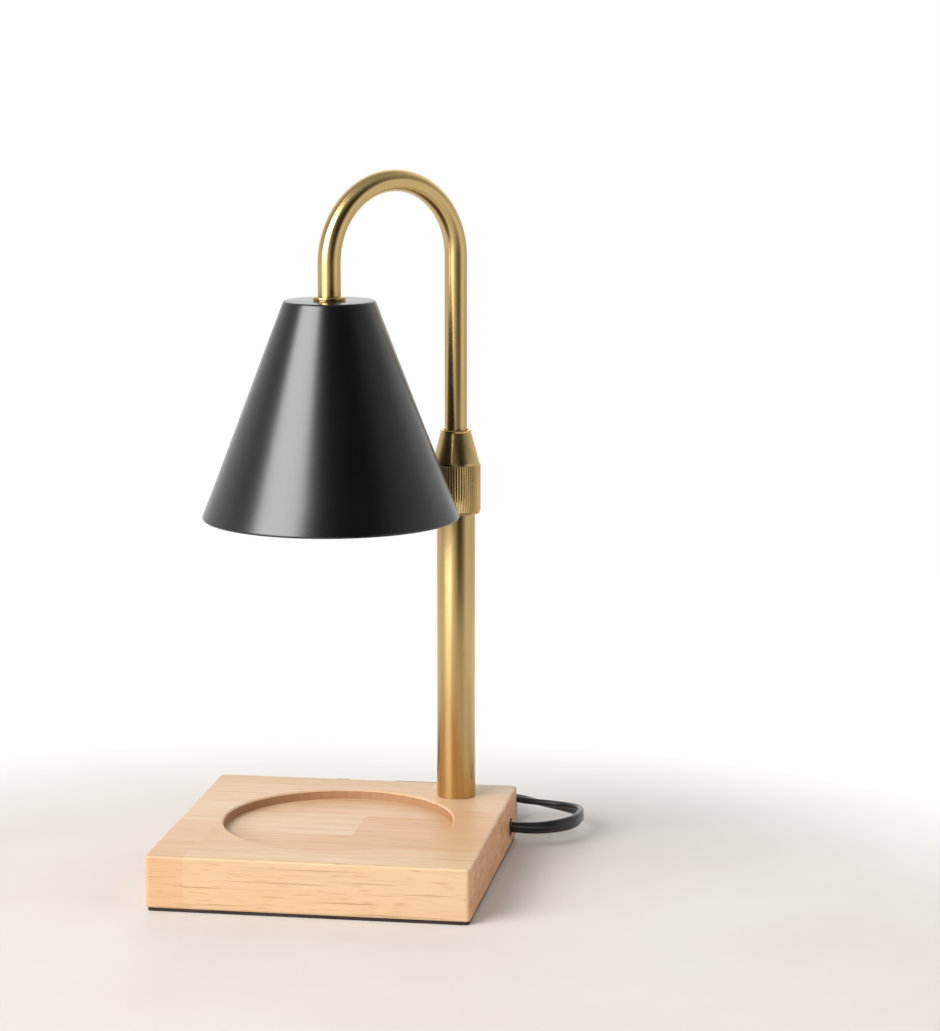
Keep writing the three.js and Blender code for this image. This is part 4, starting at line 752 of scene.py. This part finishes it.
cord_piece("mains_cord_from_base", TO_DIMMER, DIMMER_PARTS, (0.0653, 0.0457, 0.0095),
           "fitting", "loose",
           [lower, upper, gland_in, gland_out, wheel, NODES["dimmer_board"],
            NODES["dimmer_screw_left"], NODES["dimmer_screw_right"]], "cord_to_dimmer")
cord_piece("mains_cord_hank", TO_HANK + hank_route() + TO_PLUG, HANK_PARTS,
           (-0.0043, 0.0965, 0.0072), "plug", "coiled",
           [housing, boot, tie, NODES["plug_blade_narrow"], NODES["plug_blade_wide"]],
           "cord_to_hank", "cord_hank", "cord_to_plug")


# Post, with rounded ends
POST = (41.7, 45.7)
POST_RADIUS = 8.12
POST_BORE = 7.12
POST_LOW, POST_HIGH = 22.7, 157.9
EDGE_ACROSS, EDGE_UP = 0.22, 0.5
BORE_EDGE_ACROSS, BORE_EDGE_UP = 0.18, 0.3

# Arm: bearing from the post to the head, tube, bend, legs, and the bend's flattening
BEARING = math.radians(-132.9)
TUBE_RADIUS = 4.75
TUBE_BORE = 3.95
BEND_RADIUS = 32
BEND_HEIGHT = 251.1
ARM_FOOT = 102.0
ARM_EDGE = 0.4
ARM_END = 12.75
BEND_STEPS, LEG_STEPS, END_STEPS = 48, 6, 3
FLATTENING = 0.06
FLAT_RISE = 2.2
TUBE_SIDES = 64
AWAY = Vector((math.cos(BEARING), math.sin(BEARING), 0))
REACH = 2 * BEND_RADIUS
HEAD = (POST[0] + REACH * math.cos(BEARING), POST[1] + REACH * math.sin(BEARING))


def post_tube():
    outer, inner = POST_RADIUS - EDGE_ACROSS, POST_BORE + BORE_EDGE_ACROSS
    profile = [(POST_RADIUS, POST_LOW + EDGE_UP), (POST_RADIUS, POST_HIGH - EDGE_UP),
               (outer, POST_HIGH), (inner, POST_HIGH), (POST_BORE, POST_HIGH - BORE_EDGE_UP),
               (POST_BORE, POST_LOW + BORE_EDGE_UP), (inner, POST_LOW), (outer, POST_LOW)]
    return lathe("post", profile, POST, steps=128, angle=40)


def arm_tube():
    """Swan neck, a little flattened in its bend, as a bent tube is."""
    foot = ARM_FOOT + ARM_EDGE
    stations = [(0, ARM_FOOT, 0.0, 0.0), (0, foot, 0.0, 0.0)]
    for i in range(1, LEG_STEPS + 1):
        stations.append((0, foot + (BEND_HEIGHT - foot) * i / LEG_STEPS, 0.0, 0.0))
    for i in range(1, BEND_STEPS):
        a = math.pi * i / BEND_STEPS
        stations.append((BEND_RADIUS - BEND_RADIUS * math.cos(a),
                         BEND_HEIGHT + BEND_RADIUS * math.sin(a), a,
                         min(1, math.sin(a) * FLAT_RISE)))
    for i in range(END_STEPS + 1):
        stations.append((REACH, BEND_HEIGHT - ARM_END * i / END_STEPS, math.pi, 0.0))
    side = UP.cross(AWAY)
    outer, inner = [], []
    for x, z, a, flat in stations:
        across = AWAY * math.cos(a) - UP * math.sin(a)
        centre = Vector((*POST, z)) + AWAY * x
        for rings, radius in ((outer, TUBE_RADIUS), (inner, TUBE_BORE)):
            rings.append(hoop(centre, across, side, radius, TUBE_SIDES, 1 - FLATTENING * flat))
    tube = skin("swan_neck", outer + inner[::-1], closed_along=True, angle=40)
    along = [0.0]
    middles = [(x, z) for x, z, _, _ in stations]
    for start, end in zip(middles, middles[1:]):
        along.append(along[-1] + math.dist(start, end) * MM)
    unwrap(tube, along + along[::-1] + [0.0],
           [j / TUBE_SIDES for j in range(TUBE_SIDES + 1)])
    return tube


# Collar: outside from its foot to its lip, then the bore back down
COLLAR_OUTSIDE = (
    (8.6, 144.0), (9.6, 144.0), (9.95, 144.35), (9.95, 145.0), (10.27, 145.25),
    (10.27, 164.5), (9.95, 164.75), (9.95, 165.4), (9.75, 165.85), (6.5, 177.8),
    (6.4, 178.05), (6.55, 178.2), (6.62, 178.35), (6.62, 178.8), (6.45, 179.0),
)
COLLAR_INSIDE = (
    (5.3, 179.0), (5.2, 178.9), (5.2, 169.0), (6.4, 168.6), (8.5, 158.6), (8.5, 144.1),
)
GRIP_LOW, GRIP_HIGH = 145.0, 164.7
GRIP_RIDGES = 60
GRIP_RIDGE_DEPTH = 0.27
GRIP_RIDGE_POWER = 0.8


def collar():
    """Ridged grip with small chamfers, a cone and a lip."""
    def ridge(t, z):
        if GRIP_LOW <= z <= GRIP_HIGH:
            return -GRIP_RIDGE_DEPTH * wave(GRIP_RIDGES * t) ** GRIP_RIDGE_POWER
        return 0

    return lathe("collar", COLLAR_OUTSIDE + COLLAR_INSIDE, POST, steps=600, angle=40,
                 wobble=ridge)


# Washer on the shade, with a rounded edge and the same hole for the nipple
NIPPLE_HOLE = 3.95
WASHER_LOW, WASHER_HIGH = 236.55, 238.25
WASHER_SHOULDER = 6.5
WASHER_FLAT = 5.4
WASHER_EDGE = (5.96, 237.4, 0.8, -60, 80, 6)


def washer():
    profile = [(NIPPLE_HOLE, WASHER_LOW), (WASHER_SHOULDER, WASHER_LOW), *arc(*WASHER_EDGE),
               (WASHER_FLAT, WASHER_HIGH), (NIPPLE_HOLE, WASHER_HIGH)]
    return lathe("top_washer", profile, HEAD, steps=96, angle=40)


dress(post_tube(), BRASS_UP, "base", "polished_brass", "post_tube")
dress(arm_tube(), BRASS_BENT, "arm", "polished_brass", "arm_tube")
dress(collar(), BRASS_UP, "collar", "polished_brass", "locking_collar")
dress(washer(), BRASS_UP, "arm", "polished_brass", "shade_washer")

# Slack lead in the post, drawn at rest with waves of slack; the real lead folds and stretches as
# the arm slides
LEAD_RADIUS = 1.6
LEAD_SWAY = 2.25
LEAD_WAVES = 2
LEAD_STEPS = 32
LEAD_SIDES = 16


def slack_lead():
    low, high = (corner.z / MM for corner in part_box("slack_wire"))
    rise = high - low - 4 * LEAD_RADIUS
    route = [Vector((*POST, low))]
    for i in range(LEAD_STEPS + 1):
        share = i / LEAD_STEPS
        out = LEAD_SWAY * math.sin(math.pi * share) ** 2
        a = TAU * LEAD_WAVES * share
        route.append(Vector((POST[0] + out * math.cos(a), POST[1] + out * math.sin(a),
                             low + 2 * LEAD_RADIUS + rise * share)))
    route.append(Vector((*POST, high)))
    ways = [UP, *(after - before for before, after in zip(route, route[2:])), UP]
    rings = []
    for middle, way in zip(route, ways):
        ahead = way.normalized()
        across = BACK.cross(ahead).normalized()
        rings.append(hoop(middle, across, ahead.cross(across), LEAD_RADIUS, LEAD_SIDES))
    piece = skin("slack_lead", rings)
    piece.data.materials.append(SLEEVE)
    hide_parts("slack_wire")
    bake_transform(piece)


slack_lead()

# Shade: inside of its crown, slope of its cone, rolled rim, and outside of its crown
SHADE_HEIGHT = 87.7
CONE_WIDE, CONE_NARROW = 51.94, 18.44
SHADE_SLOPE = (CONE_WIDE - CONE_NARROW) / SHADE_HEIGHT
CONE_INSIDE = (18.0, 234.4)
CONE_OUTSIDE = (18.6, 236.1)
CROWN_INSIDE = ((NIPPLE_HOLE, 235.5), (16.9, 235.5), (17.6, 235.1), CONE_INSIDE)
CROWN_OUTSIDE = ((18.75, 235.7), (18.55, 236.15), (18.15, 236.43), (17.7, 236.5),
                 (NIPPLE_HOLE, 236.5))
CONE_LEVELS = (220, 200, 180, 160)
RIM_INSIDE = (50.75, 149.6)
RIM_OUTSIDE = (51.75, 149.9)
RIM_ROLL = (51.35, 149.35, 0.55, 200, 360, 6)
RIM_TOP = 150.6


def shade():
    def cone(start, z):
        return start[0] + SHADE_SLOPE * (start[1] - z), z

    profile = [*CROWN_INSIDE, *(cone(CONE_INSIDE, z) for z in (*CONE_LEVELS, RIM_TOP)),
               RIM_INSIDE, *arc(*RIM_ROLL), RIM_OUTSIDE,
               *(cone(CONE_OUTSIDE, z) for z in CONE_LEVELS[::-1]), *CROWN_OUTSIDE]
    return lathe("lamp_shade", profile, HEAD, steps=192, angle=40)


dress(shade(), PAINT, "arm", "black_paint", "shade")

# Bulb: fluted reflector with its rim, and a flat lens with a softened edge
MIRROR_TOP, MIRROR_LOW = 191.55, 160.6
MIRROR_NECK = 12
MIRROR_GROWTH = 13
MIRROR_WALL = 1.6
MIRROR_STEPS = 12
MIRROR_RIM_OUTSIDE = ((25, 158.2), (24.8, 157.0), (24.4, 156.6))
MIRROR_RIM_INSIDE = ((23.4, 160.0), (23.4, 156.6))
FLUTES = 30
FLUTE_DEPTH = 0.18
FLUTE_LOW, FLUTE_HIGH = 162, 188
LENS_PROFILE = ((AXIS_GAP, 158.9), (23.1, 158.9), (23.1, 157.4), (22.4, 157.1), (15, 156.95),
                (8, 156.9), (AXIS_GAP, 156.9))


def reflector():
    outer = []
    for i in range(MIRROR_STEPS + 1):
        share = i / MIRROR_STEPS
        outer.append((MIRROR_NECK + MIRROR_GROWTH * math.sqrt(share),
                      MIRROR_TOP + (MIRROR_LOW - MIRROR_TOP) * share))
    inner = [(r - MIRROR_WALL, z) for r, z in outer]
    profile = [*inner, *MIRROR_RIM_INSIDE, *MIRROR_RIM_OUTSIDE[::-1], *outer[::-1]]

    def flute(t, z):
        return FLUTE_DEPTH * math.cos(FLUTES * t) if FLUTE_LOW < z < FLUTE_HIGH else 0

    return lathe("bulb_mirror", profile, HEAD, steps=120, wobble=flute)


dress(reflector(), MIRROR, "bulb", "mirror_glass", "bulb_reflector")
dress(lathe("bulb_front_lens", LENS_PROFILE, HEAD, steps=96), GLASS, "bulb", "clear_glass",
      "bulb_lens")

# The other solids keep their shape and get their finish
for name, piece in NODES.items():
    for slot in piece.material_slots:
        slot.material = FINISH_OF[SLOT_OF[name]]

# Floor: tones, middle and reach of its fade to white in metres, rings in millimetres
FLOOR_DARK = (0.605, 0.555, 0.515)
FLOOR_LIGHT = (0.645, 0.605, 0.57)
FLOOR_MIDDLE = (0, -0.16, 0)
FLOOR_FADE = (0.24, 0.46)
FLOOR_CLOUDS = 9
FLOOR_RINGS = (1, 200, 400, 750)
FLOOR_SIDES = 96
FLOOR_LEVEL = -0.02
FLOOR_ROUGH = 0.55
BLACK = (0, 0, 0)
WHITE = (1, 1, 1, 1)


def floor():
    """Pale round the object, and white light of its own further off, like the room."""
    turns = [TAU * i / FLOOR_SIDES for i in range(FLOOR_SIDES)]
    rings = [[(r * math.cos(t), r * math.sin(t), FLOOR_LEVEL) for t in turns]
             for r in FLOOR_RINGS]
    piece = skin("floor", rings, caps=False)
    mat, shader = material("floor_surface", FLOOR_LIGHT, FLOOR_ROUGH, Specular_IOR_Level=0.2,
                           Emission_Color=WHITE)
    away = node(mat, "ShaderNodeVectorMath", operation="DISTANCE")
    away.inputs[1].default_value = FLOOR_MIDDLE
    link(mat, where(mat), away.inputs[0])
    fade = spread(mat, away.outputs["Value"], 0, 1, *FLOOR_FADE,
                  interpolation_type="SMOOTHSTEP")
    clouds = noise(mat, where(mat), FLOOR_CLOUDS, detail=5)
    tone = colour_mix(mat, spread(mat, clouds, 0, 1, 0.3, 0.7), FLOOR_DARK, FLOOR_LIGHT)
    link(mat, colour_mix(mat, fade, tone, BLACK), shader.inputs["Base Color"])
    link(mat, fade, shader.inputs["Emission Strength"])
    piece.data.materials.append(mat)


# Soft lights: place, target, size in metres and power in watts
KEY = ((-1.13, -1.31, 1.12), (0, 0, 0.12), (1.5, 1.45), 62)
FILL = ((1.55, -0.35, 0.75), (0, 0, 0.05), (1.2, 1.2), 7.5)


def soft_light(name, place, target, size, power, mirrored=True):
    data = bpy.data.lights.new(name, "AREA")
    data.shape = "RECTANGLE"
    data.size, data.size_y = size
    data.energy = power
    lamp = bpy.data.objects.new(name, data)
    lamp.visible_glossy = mirrored
    lamp.location = place
    lamp.rotation_euler = (Vector(target) - Vector(place)).to_track_quat("-Z", "Y").to_euler()
    bpy.context.scene.collection.objects.link(lamp)


# Brightness round the room by bearing in degrees, and the heights where it changes
ROOM_LOW = [
    (-180, 0.85), (-165, 0.8), (-152, 1.1), (-132, 2.0), (-108, 2.0), (-94, 0.9), (-82, 0.5),
    (-71, 0.15), (-61, 0.03), (-48, 0.03), (-36, 0.3), (-20, 1.0), (-6, 1.05), (20, 0.8),
    (60, 0.8), (100, 1.5), (140, 0.9), (180, 0.85),
]
ROOM_HIGH = [
    (-180, 0.40), (-163, 0.45), (-153, 1.1), (-110, 1.1), (-102, 0.4), (-91, 0.06),
    (-74, 0.01), (-36, 0.01), (-22, 0.10), (-7, 0.30), (28, 0.5), (52, 1.2), (100, 1.6),
    (145, 0.8), (180, 0.40),
]
ROOM_TOP = 0.35
LOW_TO_HIGH = (0.15, 0.36)
HIGH_TO_TOP = (0.62, 0.85)


def studio():
    """White room with darker upright bands, which metal needs to look like metal."""
    world = bpy.data.worlds.new("studio")
    bpy.context.scene.world = world
    world.use_nodes = True
    world.node_tree.nodes.clear()
    output = node(world, "ShaderNodeOutputWorld")
    seen = node(world, "ShaderNodeBackground", Color=WHITE)
    most = max(value for _, value in ROOM_LOW + ROOM_HIGH)
    room = node(world, "ShaderNodeBackground", Strength=most)
    path = node(world, "ShaderNodeLightPath")
    mix = node(world, "ShaderNodeMixShader")
    x, y, z = parts_of(world, where(world, "Generated"))
    turn = maths(world, "ARCTAN2", y, x)
    bearing = spread(world, turn, 0, 1, -math.pi, math.pi)

    def band(stops):
        ramp = node(world, "ShaderNodeValToRGB")
        while len(ramp.color_ramp.elements) < len(stops):
            ramp.color_ramp.elements.new(0.5)
        for element, (degrees, value) in zip(ramp.color_ramp.elements, stops):
            element.position = (degrees + 180) / 360
            element.color = (value / most,) * 3 + (1,)
        link(world, bearing, ramp.inputs[0])
        return ramp.outputs[0]

    def between(heights, below, above):
        return colour_mix(world, spread(world, z, 0, 1, *heights), below, above)

    sides = between(LOW_TO_HIGH, band(ROOM_LOW), band(ROOM_HIGH))
    whole = between(HIGH_TO_TOP, sides, (ROOM_TOP / most,) * 3)
    link(world, whole, room.inputs["Color"])
    link(world, path.outputs["Is Camera Ray"], mix.inputs[0])
    link(world, room.outputs[0], mix.inputs[1])
    link(world, seen.outputs[0], mix.inputs[2])
    link(world, mix.outputs[0], output.inputs["Surface"])


floor()
studio()
soft_light("key", *KEY)
soft_light("fill", *FILL, mirrored=False)
